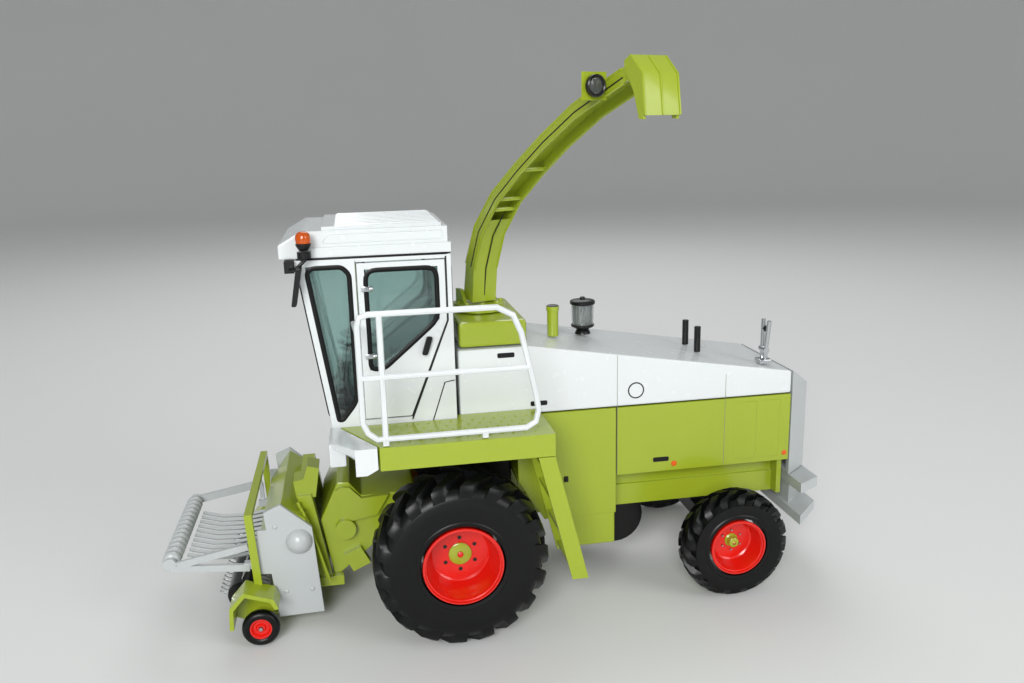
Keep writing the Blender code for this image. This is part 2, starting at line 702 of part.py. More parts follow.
def quarter_outline(inset):
    """Three-cornered pane between windscreen and door."""
    low, high = 62.4 * MM + inset, 107.6 * MM - inset
    rear = DOOR_FRONT_Y - 1.6 * MM - inset
    return [(front_y(low, FRAME_W + inset), low), (front_y(low, FRAME_W + inset) + 1.2 * MM, low),
            (rear, 68.0 * MM + inset), (rear, high - 2.2 * MM), (rear - 2.0 * MM, high),
            (front_y(high, FRAME_W + inset), high)]


def door_pane(inset):
    rear = DOOR_REAR_Y - 2.4 * MM - inset
    front = DOOR_FRONT_Y + 2.4 * MM + inset
    return [(front, 77.0 * MM + inset), (front + 4.0 * MM, 77.0 * MM + inset),
            (rear, 90.8 * MM + 0.4 * inset),
            (rear, DOOR_TOP_Z - 2.2 * MM - inset), (front, DOOR_TOP_Z - 2.2 * MM - inset)]


def screen_slab(name, low, high, half, inset, thick):
    """A slab parallel to the windscreen, from low to high."""
    outline = [(front_y(low, inset), low), (front_y(high, inset), high),
               (front_y(high, inset + thick), high), (front_y(low, inset + thick), low)]
    return plate(name, outline, "X", -half, half)


def make_cab():
    shell = plate("cab", cab_outline(0), "X", -CAB_HALF, CAB_HALF)
    wide = 3 * CAB_HALF
    inner = plate("cab_inside", [(y, z + (1 * MM if z > 0.08 else -1 * MM)) for y,
                                 z in cab_outline(CAB_WALL)],
                  "X", -CAB_HALF + CAB_WALL, CAB_HALF - CAB_WALL)
    quarter = plate("quarter_hole", quarter_outline(0), "X", -wide, wide)
    door = plate("door_hole", door_outline(0), "X", 0, wide)
    pane = plate("side_hole", door_pane(0), "X", -wide, 0)
    screen = screen_slab("screen_hole", 63.5 * MM, 107.4 * MM, CAB_HALF - FRAME_W, -3 * MM, 8 * MM)
    rear = box("rear_hole", (-CAB_HALF + 4 * MM, 0, 84 * MM), (CAB_HALF - 4 * MM, 6 * MM, 106 * MM))
    return finish(cut(shell, inner, quarter, door, pane, screen, rear), "cab_shell", "white_paint")


def make_glass():
    mid = (CAB_WALL - GLASS) / 2
    for side in (1, -1):
        low, high = sorted((side * (CAB_HALF - mid), side * (CAB_HALF - mid - GLASS)))
        pane = plate("quarter", quarter_outline(SEAT), "X", low, high)
        finish(pane, f"quarter_glass_{side_name(side)}", "tinted_glass")
    side_pane = plate("side", door_pane(SEAT), "X", -CAB_HALF + mid, -CAB_HALF + mid + GLASS)
    finish(side_pane, "side_glass_right", "tinted_glass")
    screen = screen_slab("screen", 63.5 * MM + SEAT, 107.4 * MM - SEAT, CAB_HALF - FRAME_W - SEAT, mid,
                         GLASS)
    finish(screen, "windscreen", "tinted_glass")
    low_y = CAB_REAR_Y - mid - GLASS
    rear = box("rear", (-CAB_HALF + 4 * MM + SEAT, low_y, 84 * MM + SEAT),
               (CAB_HALF - 4 * MM - SEAT, low_y + GLASS, 106 * MM - SEAT))
    finish(rear, "rear_glass", "tinted_glass")


def make_roof():
    low = CAB_TOP_Z + SEAT
    outline = [(ROOF_FRONT_Y, low), (ROOF_REAR_Y, low), (ROOF_REAR_Y, ROOF_TOP_Z),
               (ROOF_FRONT_Y + 6 * MM, ROOF_TOP_Z), (ROOF_FRONT_Y, ROOF_TOP_Z - 3.4 * MM)]
    slab = rounded(plate("roof", outline, "X", -ROOF_HALF, ROOF_HALF), 0.6 * MM, 2)
    sides = [box("side_step", (side * ROOF_HALF - ROOF_RIM, ROOF_FRONT_Y + 8 * MM, low + ROOF_RIM_H),
                 (side * ROOF_HALF + ROOF_RIM, ROOF_REAR_Y + 1 * MM, ROOF_TOP_Z + 1 * MM)) for side in (1,
                                                                                                        -1)]
    rear = box("rear_step", (-ROOF_HALF - 1 * MM, ROOF_REAR_Y - ROOF_RIM, low + ROOF_RIM_H),
               (ROOF_HALF + 1 * MM, ROOF_REAR_Y + 1 * MM, ROOF_TOP_Z + 1 * MM))
    crown = box("crown", (-ROOF_HALF + 3 * MM, ROOF_FRONT_Y + 12 * MM, ROOF_TOP_Z - 1 * MM),
                (ROOF_HALF - 3 * MM, ROOF_REAR_Y - 2.5 * MM, ROOF_TOP_Z + ROOF_CROWN))
    return finish(join(cut(slab, rear, *sides), crown), "cab_roof", "white_paint")


def make_cab_inside():
    inner = CAB_HALF - CAB_WALL - SEAT
    floor = plate("floor", [(-inner, front_y(CAB_FLOOR_Z, CAB_WALL + SEAT)),
                            (inner, front_y(CAB_FLOOR_Z, CAB_WALL + SEAT)),
                            (inner, CAB_REAR_Y - CAB_WALL - SEAT), (-inner, CAB_REAR_Y - CAB_WALL - SEAT)],
                  "Z", CAB_FLOOR_Z - 2.4 * MM, CAB_FLOOR_Z + 1.6 * MM)
    top = CAB_FLOOR_Z + 1.2 * MM
    base = box("base", (-5 * MM, -11 * MM, top), (5 * MM, -3 * MM, top + 9 * MM))
    cushion = rounded(box("cushion", (-SEAT_HALF, -15 * MM, top + 8 * MM), (SEAT_HALF, -2 * MM,
                                                                            top + 12 * MM)), 1.2 * MM)
    back = rounded(plate("back", [(-3.5 * MM, top + 9 * MM), (-0.6 * MM, top + 9 * MM),
                                  (1.0 * MM, top + 28 * MM),
                                  (-1.6 * MM, top + 28 * MM)], "X", -SEAT_HALF, SEAT_HALF), 0.9 * MM)
    column = rod("column", (0, -29 * MM, top), (0, -25.2 * MM, top + 19 * MM), 1.6 * MM, 1.1 * MM)
    lean = Vector((0, 3.8, 19)).normalized()
    wheel = turned("wheel", arc((4.6 * MM, 0), 0.6 * MM, 0, 315, 8),
                   Vector((0, -25.2 * MM, top + 19 * MM)), lean, 28)
    spoke = rod("spoke", Vector((-4.6 * MM, -25.2 * MM, top + 19 * MM)),
                Vector((4.6 * MM, -25.2 * MM, top + 19 * MM)), 0.5 * MM, sides=10)
    foot = box("foot", (-3.5 * MM, -31 * MM, top), (3.5 * MM, -25 * MM, top + 3 * MM))
    finish(join(floor, base, cushion, back, column, wheel, spoke, foot), "cab_interior", "black_paint")


def make_door():
    hinge = Vector((CAB_HALF + 0.4 * MM, DOOR_FRONT_Y + DOOR_GAP, 0))
    carrier = empty("cab_door_axis", hinge, root())
    panel = plate("door", door_outline(DOOR_GAP), "X", CAB_HALF - CAB_WALL, CAB_HALF)
    hole = plate("door_window", door_pane(0), "X", 0, 2 * CAB_HALF)
    handle = plate("handle", [(-6.8 * MM, 80.4 * MM), (-5.4 * MM, 80.4 * MM), (-3.8 * MM, 86.2 * MM),
                              (-5.2 * MM, 86.2 * MM)],
                   "X", CAB_HALF - 0.3 * MM, CAB_HALF + 1.1 * MM)
    panel = cut(panel, hole)
    finish(join(panel, handle), "cab_door", "white_paint", carrier)
    mid = (CAB_WALL - GLASS) / 2
    pane = plate("door_pane", door_pane(SEAT), "X", CAB_HALF - mid - GLASS, CAB_HALF - mid)
    finish(pane, "door_glass", "tinted_glass", carrier)


# ---- platform, rail, ladder ------------------------------------------------------
def make_platforms():
    inner = CAB_HALF + 2 * SEAT
    low = PLATFORM_TOP_Z - PLATFORM_T
    front = PLATFORM_FRONT_Y + SEAT
    slant = front - PLATFORM_SLANT
    out = PLATFORM_OUT_X
    t = SHEET
    deck = plate("deck", [(inner, slant), (out - 1.3 * MM, front), (out, front), (out, PLATFORM_REAR_Y),
                          (inner, PLATFORM_REAR_Y)],
                 "Z", low, PLATFORM_TOP_Z)
    hollow = plate("deck_inside", [(inner - 1 * MM, slant + 1.3 * t), (out - 1.3 * MM - t, front + t),
                                   (out - t, front + t),
                                   (out - t, PLATFORM_REAR_Y - t), (inner - 1 * MM, PLATFORM_REAR_Y - t)],
                   "Z", low - 1 * MM, PLATFORM_TOP_Z - t)
    shelf = box("shelf", (BODY_HALF + SEAT, CAB_REAR_Y + SEAT, PLATFORM_TOP_Z - t),
                (inner + 1 * MM, PLATFORM_REAR_Y, PLATFORM_TOP_Z))
    finish(join(cut(deck, hollow), shelf), "platform_left", "light_green")
    mirrored(deck, "fender_right")
    rear = PLATFORM_FRONT_Y - SEAT
    top = plate("corner", [(inner, CORNER_FRONT_Y), (inner + 11 * MM, CORNER_FRONT_Y),
                           (out, rear - 6 * MM), (out, rear),
                           (out - 1.4 * MM, rear), (inner, rear - PLATFORM_SLANT)],
                "Z", PLATFORM_TOP_Z - 2.2 * MM, PLATFORM_TOP_Z)
    cheek = plate("cheek", [(rear - 6 * MM, CORNER_LOW_Z), (rear - 3 * MM, CORNER_LOW_Z),
                            (rear, CORNER_LOW_Z + 1.6 * MM),
                            (rear, PLATFORM_TOP_Z - 1 * MM), (rear - 6 * MM, PLATFORM_TOP_Z - 1 * MM)],
                  "X", out - 1.6 * MM, out - 0.02 * MM)
    nose = rounded(box("nose", (inner + 2.5 * MM, CORNER_FRONT_Y - 0.4 * MM, CORNER_LOW_Z - 0.2 * MM),
                       (inner + 11.5 * MM, CORNER_FRONT_Y + 4.2 * MM, PLATFORM_TOP_Z - 1 * MM)), 0.4 * MM)
    wall = plate("wall", [(inner + 2 * MM, rear - PLATFORM_SLANT + 0.2 * MM),
                          (out - 1 * MM, rear - 1.6 * MM),
                          (out - 1 * MM, rear - 0.4 * MM), (inner + 2 * MM,
                                                            rear - PLATFORM_SLANT + 1.0 * MM)],
                 "Z", CORNER_LOW_Z + 1 * MM, PLATFORM_TOP_Z - 1 * MM)
    corner = join(top, cheek, wall, nose)
    finish(corner, "platform_corner_left", "white_paint")
    mirrored(corner, "platform_corner_right")


def make_handrail():
    x, r = RAIL_PLANE_X, RAIL_TUBE_R
    front = HAND_FRONT_Y
    loop = [(x, front + 3.6 * MM, HAND_LOW_Z), (x, 19.5 * MM, HAND_LOW_Z),
            (x, 22.2 * MM, HAND_LOW_Z + 1.6 * MM),
            (x, 23.0 * MM, HAND_LOW_Z + 5 * MM), (x, 22.2 * MM, 73.0 * MM), (x, 18.6 * MM, 90.0 * MM),
            (x, 16.4 * MM, 95.0 * MM), (x, 12.0 * MM, HAND_TOP_Z), (x, front + 3 * MM, HAND_TOP_Z),
            (x, front + 0.7 * MM, HAND_TOP_Z - 0.7 * MM), (x, front, HAND_TOP_Z - 3 * MM),
            (x, front, HAND_LOW_Z + 5 * MM), (x, front + 1.2 * MM, HAND_LOW_Z + 2 * MM)]
    rail = tube("rail", loop, r, cyclic=True)
    middle = tube("middle", [(x, front, HAND_MID_Z), (x, 20.7 * MM, HAND_MID_Z)], r)
    post = tube("post", [(x, -19.2 * MM, HAND_TOP_Z), (x, -19.2 * MM, HAND_LOW_Z)], r)
    feet = [box("foot", (x - 0.7 * MM, y - 0.8 * MM, PLATFORM_TOP_Z + SEAT), (x + 0.7 * MM, y + 0.8 * MM,
                                                                              HAND_LOW_Z))
            for y in (-19.2 * MM, 7.9 * MM)]
    stay = tube("stay", [(x, front, HAND_TOP_Z - 6 * MM), (x - 2 * MM, front, HAND_TOP_Z - 6 * MM),
                         (CAB_HALF + SEAT + 0.2 * MM, front - 1.0 * MM, HAND_TOP_Z - 6 * MM)], r * 0.8)
    return finish(join(rail, middle, post, stay, *feet), "handrail", "white_paint")


def make_ladder():
    top, foot = PLATFORM_TOP_Z - PLATFORM_T - SEAT, LADDER_FOOT_Z
    slope = (LADDER_FOOT_Y - LADDER_TOP_Y) / (top - foot)
    half = LADDER_W / 2
    def side(x):
        return plate("stringer", [(LADDER_TOP_Y - half, top), (LADDER_TOP_Y + half, top),
                                  (LADDER_FOOT_Y + half, foot), (LADDER_FOOT_Y - half, foot)],
                     "X", x - 0.6 * MM, x + 0.6 * MM)
    outer = side(PLATFORM_OUT_X - 0.8 * MM)
    parts = [side(BODY_HALF + 3.5 * MM)]
    for k in range(LADDER_RUNGS):
        z = foot + 2 * MM + k * (top - foot - 6 * MM) / (LADDER_RUNGS - 1)
        y = LADDER_TOP_Y + (top - z) * slope
        parts.append(box("rung", (BODY_HALF + 3.5 * MM, y - half + 0.5 * MM, z),
                         (PLATFORM_OUT_X - 1 * MM, y + half - 0.5 * MM, z + 1.0 * MM)))
    return finish(join(outer, *parts), "ladder", "light_green")


# ---- spout -----------------------------------------------------------------------
def make_spout_housing():
    low = BONNET_HIGH_Z + SEAT
    block = box("housing", (-BODY_HALF + 1 * MM, BONNET_FRONT_Y + 0.6 * MM, low),
                (BODY_HALF - 1 * MM, BONNET_SHOULDER_Y, HOUSING_TOP_Z))
    return finish(rounded(block, 1.2 * MM), "spout_housing", "light_green")


def make_turret(carrier):
    low = HOUSING_TOP_Z + SEAT
    ring = rod("ring", (0, SPOUT_Y, low), (0, SPOUT_Y, TURRET_TOP_Z), TURRET_R, sides=36)
    hinge_y = SPOUT_Y + SPOUT_HINGE_BACK
    ears = []
    for side in (1, -1):
        x = side * (CHUTE_W / 2 + RUN + 0.6 * MM)
        ears.append(plate("ear", [(hinge_y - 1.6 * MM, TURRET_TOP_Z - 1 * MM), (hinge_y + 5 * MM,
                                                                                TURRET_TOP_Z - 1 * MM),
                                  (hinge_y + 1.5 * MM, SPOUT_HINGE_Z + 2.2 * MM), (hinge_y - 1.5 * MM,
                                                                                   SPOUT_HINGE_Z + 2.2 * MM)],
                          "X", x - 0.6 * MM, x + 0.6 * MM))
    return finish(join(ring, *ears), "spout_turret", "light_green", carrier)


def chute_depth(k):
    """Depth of the chute at its k-th point: deep at the foot, shallow from the middle on."""
    share = max(0.0, 1 - k / 4.5) ** 1.2
    return CHUTE_SHALLOW + (CHUTE_DEEP - CHUTE_SHALLOW) * share


def chute_path():
    """Under edge points and matching top edge points, as (y, z) in the spout's frame."""
    under = [Vector((SPOUT_Y + s * MM, z * MM)) for s, z in CHUTE_UNDER]
    top = []
    for k, point in enumerate(under):
        before = under[max(k - 1, 0)]
        after = under[min(k + 1, len(under) - 1)]
        run = (after - before).normalized()
        top.append(point + Vector((-run.y, run.x)) * chute_depth(k))
    return under, top


def make_chute(carrier):
    under, top = chute_path()
    half = CHUTE_W / 2
    outline = [tuple(p) for p in under] + [tuple(p) for p in reversed(top)]
    chute = plate("chute", outline, "X", -half, half)
    t = CHUTE_WALL
    lid = [q + (p - q).normalized() * t for p, q in zip(under, top)]
    start = CHUTE_OPEN_FROM - 1
    floor = [p + (q - p).normalized() * (t if k < start else -t) for k,
             (p, q) in enumerate(zip(under, top))]
    run_out = (under[-1] - under[-2]).normalized() * t
    floor[-1] = floor[-1] + run_out
    lid[-1] = lid[-1] + run_out
    inside_low = [tuple(p) for p in floor[1:]]
    inside_high = [tuple(p) for p in lid[1:]]
    hollow = plate("chute_inside", inside_low + inside_high[::-1], "X", -half + t, half - t)
    hinge_y = SPOUT_Y + SPOUT_HINGE_BACK
    pin = rod("pin", (-half - 0.3 * MM, hinge_y, SPOUT_HINGE_Z), (half + 0.3 * MM, hinge_y, SPOUT_HINGE_Z),
              0.8 * MM, sides=14)
    y, z = flap_hinge()
    lug = rod("lug", (-half + 0.15 * MM, y, z), (half - 0.15 * MM, y, z), 0.7 * MM, sides=14)
    neck = box("neck", (-half + 0.5 * MM, y - 2.6 * MM, z - 1.6 * MM), (half - 0.5 * MM, y + 0.2 * MM,
                                                                        z + 0.3 * MM))
    reach = SPOUT_Y + LAMP_REACH
    wall = half - 0.35 * MM
    lamp_box = plate("lamp_box", [(wall, reach - LAMP_D), (half + 0.6 * MM, reach - LAMP_D),
                                  (half + LAMP_W, reach), (wall, reach)],
                     "Z", LAMP_Z - LAMP_H / 2, LAMP_Z + LAMP_H / 2)
    return finish(cut(join(chute, pin, lug, neck, lamp_box), hollow), "spout_chute", "light_green", carrier)


def flap_hinge():
    under, top = chute_path()
    return top[-1] + Vector((1.1 * MM, 0.3 * MM))


def make_flap(carrier):
    y, z = flap_hinge()
    half = FLAP_W / 2
    outer = [(0.95, 1.65), (5.2, -2.6), (6.3, -11.3)]
    inner = [(5.5, -11.2), (4.4, -2.4), (0.35, 1.0)]
    skin = plate("flap", [(y + u * MM, z + v * MM) for u, v in outer + inner], "X", -half, half)
    edge = [(-1.0, 0.6), (0.5, 1.3), (4.8, -2.8), (5.8, -12.1), (4.3, -12.0), (2.4, -6.2), (-0.9, -1.2)]
    cheeks = []
    for side in (1, -1):
        low, high = sorted((side * (half - 0.05 * MM), side * (half - 0.8 * MM)))
        cheeks.append(plate("cheek", [(y + u * MM, z + v * MM) for u, v in edge], "X", low, high))
    return finish(join(skin, *cheeks), "spout_flap", "light_green", carrier)


def make_spout_lamp(carrier):
    x = CHUTE_W / 2 + LAMP_W / 2 + 0.2 * MM
    y = SPOUT_Y + LAMP_REACH + SEAT
    lamp = rod("lamp", (x, y, LAMP_Z), (x, y + 1.0 * MM, LAMP_Z), LAMP_R, sides=20)
    return finish(lamp, "spout_lamp", "black_paint", carrier)


def make_spout():
    swing = empty("spout_swing_axis", (0, SPOUT_Y, 0), root(), -radians(SPOUT_SWING))
    make_turret(swing)
    lift = empty("spout_lift_axis", (0, SPOUT_Y + SPOUT_HINGE_BACK, SPOUT_HINGE_Z), swing)
    make_chute(lift)
    make_spout_lamp(lift)
    y, z = flap_hinge()
    tilt = empty("spout_flap_axis", (0, y, z), lift)
    make_flap(tilt)


# ---- on the bonnet ---------------------------------------------------------------
def bonnet_z(y):
    share = (y - BONNET_SHOULDER_Y) / (BODY_REAR_Y - BONNET_SHOULDER_Y)
    return BONNET_HIGH_Z + (BONNET_REAR_Z - BONNET_HIGH_Z) * share


def seat_z(y, radius):
    """Lowest height that clears the sloping bonnet under a foot of this radius."""
    return bonnet_z(y - radius) + SEAT


def make_filler():
    z = seat_z(FILLER_Y, FILLER_R)
    neck = rod("neck", (FILLER_X, FILLER_Y, z), (FILLER_X, FILLER_Y, z + FILLER_H), FILLER_R, sides=24)
    cap = rod("cap", (FILLER_X, FILLER_Y, z + FILLER_H - 0.4 * MM), (FILLER_X, FILLER_Y,
                                                                     z + FILLER_H + 1.0 * MM),
              FILLER_R + 0.25 * MM, sides=24)
    finish(join(neck, cap), "filler_neck", "light_green")


def make_precleaner():
    x, y, r = CLEANER_X, CLEANER_Y, CLEANER_R
    z = seat_z(y, r)
    top = CLEANER_H
    outline = [(0, 0), (r * 0.95, 0), (r, 1.6 * MM), (r * 0.66, 3.0 * MM), (r * 0.86, 3.6 * MM),
               (r, top - 2.9 * MM),
               (r * 0.9, top - 2.6 * MM), (r * 1.08, top - 2.4 * MM), (r * 1.12, top - 1.2 * MM), (r * 0.9,
                                                                                                   top - 0.4 * MM),
               (r * 0.2, top), (0, top)]
    finish(turned("core", outline, (x, y, z), (0, 0, 1), 20, closed=False), "precleaner", "black_paint")


def make_stubs():
    for side in (1, -1):
        z = seat_z(STUB_Y, STUB_R)
        x = side * STUB_X
        finish(rod("stub", (x, STUB_Y, z), (x, STUB_Y, z + STUB_H), STUB_R, sides=18),
               f"breather_{side_name(side)}", "black_paint")


def make_spout_rest():
    x, y = REST_X, REST_Y
    z = seat_z(y, 2 * MM)
    foot = rounded(box("foot", (x - 2.2 * MM, y - 2 * MM, z), (x + 2.2 * MM, y + 2 * MM, z + 1.4 * MM)),
                   0.3 * MM)
    rods = [rod("rod", (x + side * 0.9 * MM, y, z + 0.5 * MM), (x + side * 2.0 * MM, y + 0.6 * MM,
                                                                z + 14 * MM), 0.7 * MM, sides=14)
            for side in (1, -1)]
    ball = rod("joint", (x - 2 * MM, y + 0.1 * MM, z + 4.4 * MM), (x + 2 * MM, y + 0.1 * MM, z + 4.4 * MM),
               1.0 * MM, sides=14)
    finish(join(foot, ball, *rods), "spout_rest", "bright_metal")


# ---- mirror and beacon -----------------------------------------------------------
def make_mirror():
    y = ROOF_FRONT_Y + 7.2 * MM
    x = ROOF_HALF + 3.0 * MM
    brow = CAB_BROW_Y - SEAT
    block = box("block", (CAB_HALF - 3 * MM, brow - 2.6 * MM, 106.4 * MM), (CAB_HALF + 1.8 * MM, brow,
                                                                            CAB_TOP_Z))
    arm = tube("arm", [(CAB_HALF + 1 * MM, brow - 1.3 * MM, 107.6 * MM), (x, brow + 0.4 * MM, 107.4 * MM),
                       (x, y, 110.0 * MM), (x, y, BEACON_Z - 1 * MM)], 0.6 * MM)
    glass = rounded(plate("mirror", [(y - 4.4 * MM, 97.6 * MM), (y - 3.0 * MM, 97.6 * MM),
                                     (y - 0.8 * MM, 108.4 * MM),
                                     (y - 2.4 * MM,
                                      108.4 * MM)], "X", x - 2.2 * MM, x + 2.2 * MM), 0.4 * MM)
    stand = rod("stand", (x, y, BEACON_Z - 1.8 * MM), (x, y, BEACON_Z), BEACON_R - 0.2 * MM)
    finish(join(block, arm, glass, stand), "mirror_left", "black_paint")
    lamp = [(0, 0), (BEACON_R, 0), (BEACON_R, 3.2 * MM), (BEACON_R - 0.5 * MM, 4.4 * MM), (0, 5.2 * MM)]
    finish(turned("beacon", lamp, (x, y, BEACON_Z + SEAT), (0, 0, 1), 20, closed=False), "beacon",
           "amber_plastic")


# ---- header ----------------------------------------------------------------------
def make_feeder(carrier):
    h = FEEDER_HALF
    side_outline = [(LIFT_Y - 1 * MM, LIFT_Z + 3.5 * MM), (LIFT_Y + 2.0 * MM, LIFT_Z), (LIFT_Y - 1 * MM,
                                                                                        LIFT_Z - 3.5 * MM),
                    (-24 * MM, 20 * MM), (-36.5 * MM, 10 * MM), (-39.6 * MM, 29.5 * MM), (-33.9 * MM,
                                                                                          41.2 * MM),
                    (-30.5 * MM, 41.0 * MM), (-27 * MM, 36.4 * MM)]
    block = rounded(plate("feeder", side_outline, "X", -h, h), 0.6 * MM)
    parts = []
    for side in (1, -1):
        x = side * h
        low, high = sorted((x - side * 1 * MM, x + side * 1.6 * MM))
        parts.append(rod("boss", (x - side * 1 * MM, -32.2 * MM, 26.6 * MM), (x + side * 2.4 * MM,
                                                                              -32.2 * MM, 26.6 * MM),
                         3.1 * MM, sides=24))
        parts.append(plate("cheek", [(-34.6 * MM, 39.0 * MM), (-33.0 * MM, 40.0 * MM),
                                     (-30.4 * MM, 39.8 * MM), (-27 * MM, 36.0 * MM),
                                     (-18.8 * MM, 36.5 * MM),
                                     (-22.5 * MM, 30.3 * MM), (-32.5 * MM, 28.6 * MM)], "X", low, high))
        parts.append(plate("gearbox", [(-33.4 * MM, 18.2 * MM), (-28.2 * MM, 20.4 * MM),
                                       (-25.4 * MM, 15.0 * MM), (-30.8 * MM, 12.6 * MM)],
                           "X", *sorted((x - side * 0.8 * MM, x + side * 2.2 * MM))))
    return finish(join(block, *parts), "feeder_housing", "light_green", carrier)


def make_coupling():
    """Leaning posts with a top beam that hang the header on the feeder."""
    parts = []
    for side in (1, -1):
        x = side * (FEEDER_HALF + 0.2 * MM)
        parts.append(beam("post", (x, -43.4 * MM, 38.6 * MM), (x, -38.6 * MM, 9.5 * MM), 3.2 * MM,
                          3.6 * MM))
        low, high = sorted((side * (FEEDER_HALF + SEAT), side * (FEEDER_HALF + 2.4 * MM)))
        parts.append(box("foot", (low, -41.5 * MM, 8.8 * MM), (high, -33.8 * MM, 11.8 * MM)))
    top = box("top", (-FEEDER_HALF - 2 * MM, -45.6 * MM, 34.4 * MM), (FEEDER_HALF + 2 * MM, -41.6 * MM,
                                                                      38.8 * MM))
    parts.append(plate("bracket", [(-46.0 * MM, 37.6 * MM), (-40.4 * MM, 37.6 * MM),
                                   (-38.8 * MM, 46.6 * MM),
                                   (-42.2 * MM, 47.6 * MM), (-43.6 * MM, 43.6 * MM), (-46.6 * MM,
                                                                                      43.0 * MM)],
                       "X", FEEDER_HALF - 7 * MM, FEEDER_HALF + 1 * MM))
    low = box("low", (-FEEDER_HALF, -40.6 * MM, 7.9 * MM), (FEEDER_HALF, -38.5 * MM, 10.0 * MM))
    return [top, low, *parts]


def make_header_frame(carrier):
    inner = HEADER_HALF - HEADER_WALL - SEAT
    back = plate("back", [(-44.0 * MM, 8 * MM), (-42.6 * MM, 8 * MM), (-43.4 * MM, 33.8 * MM),
                          (RIDGE_Y, RIDGE_Z),
                          (-57.0 * MM, 29.5 * MM), (-56.0 * MM, 28.8 * MM), (RIDGE_Y,
                                                                             RIDGE_Z - 1.6 * MM), (-44.8 * MM, 32.8 * MM)],
                 "X", -inner, inner)
    pan = plate("pan", [(-44.0 * MM, 8 * MM), (-42.6 * MM, 8 * MM), (-47 * MM, 4.6 * MM),
                        (-57 * MM, 4.0 * MM), (-57 * MM, 5.2 * MM),
                        (-47.4 * MM, 5.8 * MM)], "X", -inner, inner)
    return finish(join(back, pan, *make_coupling()), "header_hood", "light_green", carrier)


def make_header_sides(carrier):
    outline = [(RIDGE_Y, RIDGE_Z + 0.8 * MM), (-41.7 * MM, 31.6 * MM), (-40.0 * MM, 4.2 * MM),
               (-53.1 * MM, 4.0 * MM),
               (-54.3 * MM, 18.1 * MM), (-58.4 * MM, 18.6 * MM), (-57.4 * MM, 32.0 * MM), (-54.7 * MM,
                                                                                           32.0 * MM), (-55.1 * MM, 37.4 * MM)]
    panel = plate("side", outline, "X", HEADER_HALF - HEADER_WALL, HEADER_HALF)
    boss = turned("boss", [(0, 0), (3.9 * MM, 0), (3.7 * MM, 0.8 * MM), (2.4 * MM, 1.6 * MM),
                           (0, 2.0 * MM)],
                  Vector((HEADER_HALF - 0.5 * MM, -45.6 * MM, 27.4 * MM)), (1, 0, 0), 28, closed=False)
    finish(join(panel, boss), "header_side_left", "grey_paint", carrier)
    mirrored(panel, "header_side_right", carrier)


def make_hoop(carrier):
    """Green hoop across the header, with the gauge wheels' mudguards and axles."""
    x = HEADER_HALF + SEAT + 0.8 * MM
    top = box("top", (-x - 0.8 * MM, HOOP_Y - HOOP_W / 2, HOOP_TOP_Z - 1.6 * MM),
              (x + 0.8 * MM, HOOP_Y + HOOP_W / 2, HOOP_TOP_Z))
    parts = []
    for side in (1, -1):
        sx = side * x
        parts.append(beam("leg", (sx, HOOP_Y, HOOP_TOP_Z - 0.8 * MM), (sx, HOOP_Y + 1.4 * MM, 11 * MM),
                          1.4 * MM, HOOP_W))
        guard = [(-66.2, 6.2), (-65.8, 12.8), (-61.6, 17.4), (-53.4, 14.5), (-52.2, 11.4),
                 (-53.3, 11.2), (-54.4, 13.6), (-61.3, 16.0), (-64.7, 12.2), (-65.0, 6.2)]
        guard = [(y * MM, z * MM) for y, z in guard]
        low, high = sorted((side * (x - 0.5 * MM), side * (GAUGE_X + GAUGE_W / 2)))
        parts.append(plate("guard", guard, "X", low, high))
        wall = [(-65.6, 6.8), (-65.4, 12.7), (-61.4, 16.9), (-53.8, 14.2), (-54.0, 7.8), (-57.7, 3.6)]
        wall = [(y * MM, z * MM) for y, z in wall]
        low, high = sorted((side * (x - 0.8 * MM), side * (x + 0.8 * MM)))
        parts.append(plate("wall", wall, "X", low, high))
        parts.append(rod("stub", (side * (x - 0.25 * MM), GAUGE_Y, GAUGE_R),
                         (side * (GAUGE_X - GAUGE_W / 2 + 0.9 * MM), GAUGE_Y, GAUGE_R), 1.0 * MM, sides=16))
    return finish(join(top, *parts), "header_hoop", "light_green", carrier)


def make_gauge_wheels(carrier):
    for side in (1, -1):
        centre = Vector((side * GAUGE_X, GAUGE_Y, GAUGE_R))
        spin = empty(f"gauge_wheel_{side_name(side)}_axis", centre, carrier)
        half = GAUGE_W / 2
        outline = [(0, -half * 0.4), (GAUGE_RIM_R, -half * 0.4), (GAUGE_RIM_R, -half * 0.7),
                   (GAUGE_R * 0.75, -half),
                   (GAUGE_R * 0.95, -half * 0.8), (GAUGE_R, -half * 0.3), (GAUGE_R,
                                                                           half * 0.3), (GAUGE_R * 0.95,
                                                                                         half * 0.8),
                   (GAUGE_R * 0.75, half), (GAUGE_RIM_R, half * 0.7), (GAUGE_RIM_R * 0.8, half * 0.4),
                   (GAUGE_RIM_R * 0.5, half * 0.6), (0, half * 0.6)]
        wheel = turned("wheel", outline, centre, (side, 0, 0), 20, closed=False)
        finish(wheel, f"gauge_wheel_{side_name(side)}", "tyre_rubber", spin)


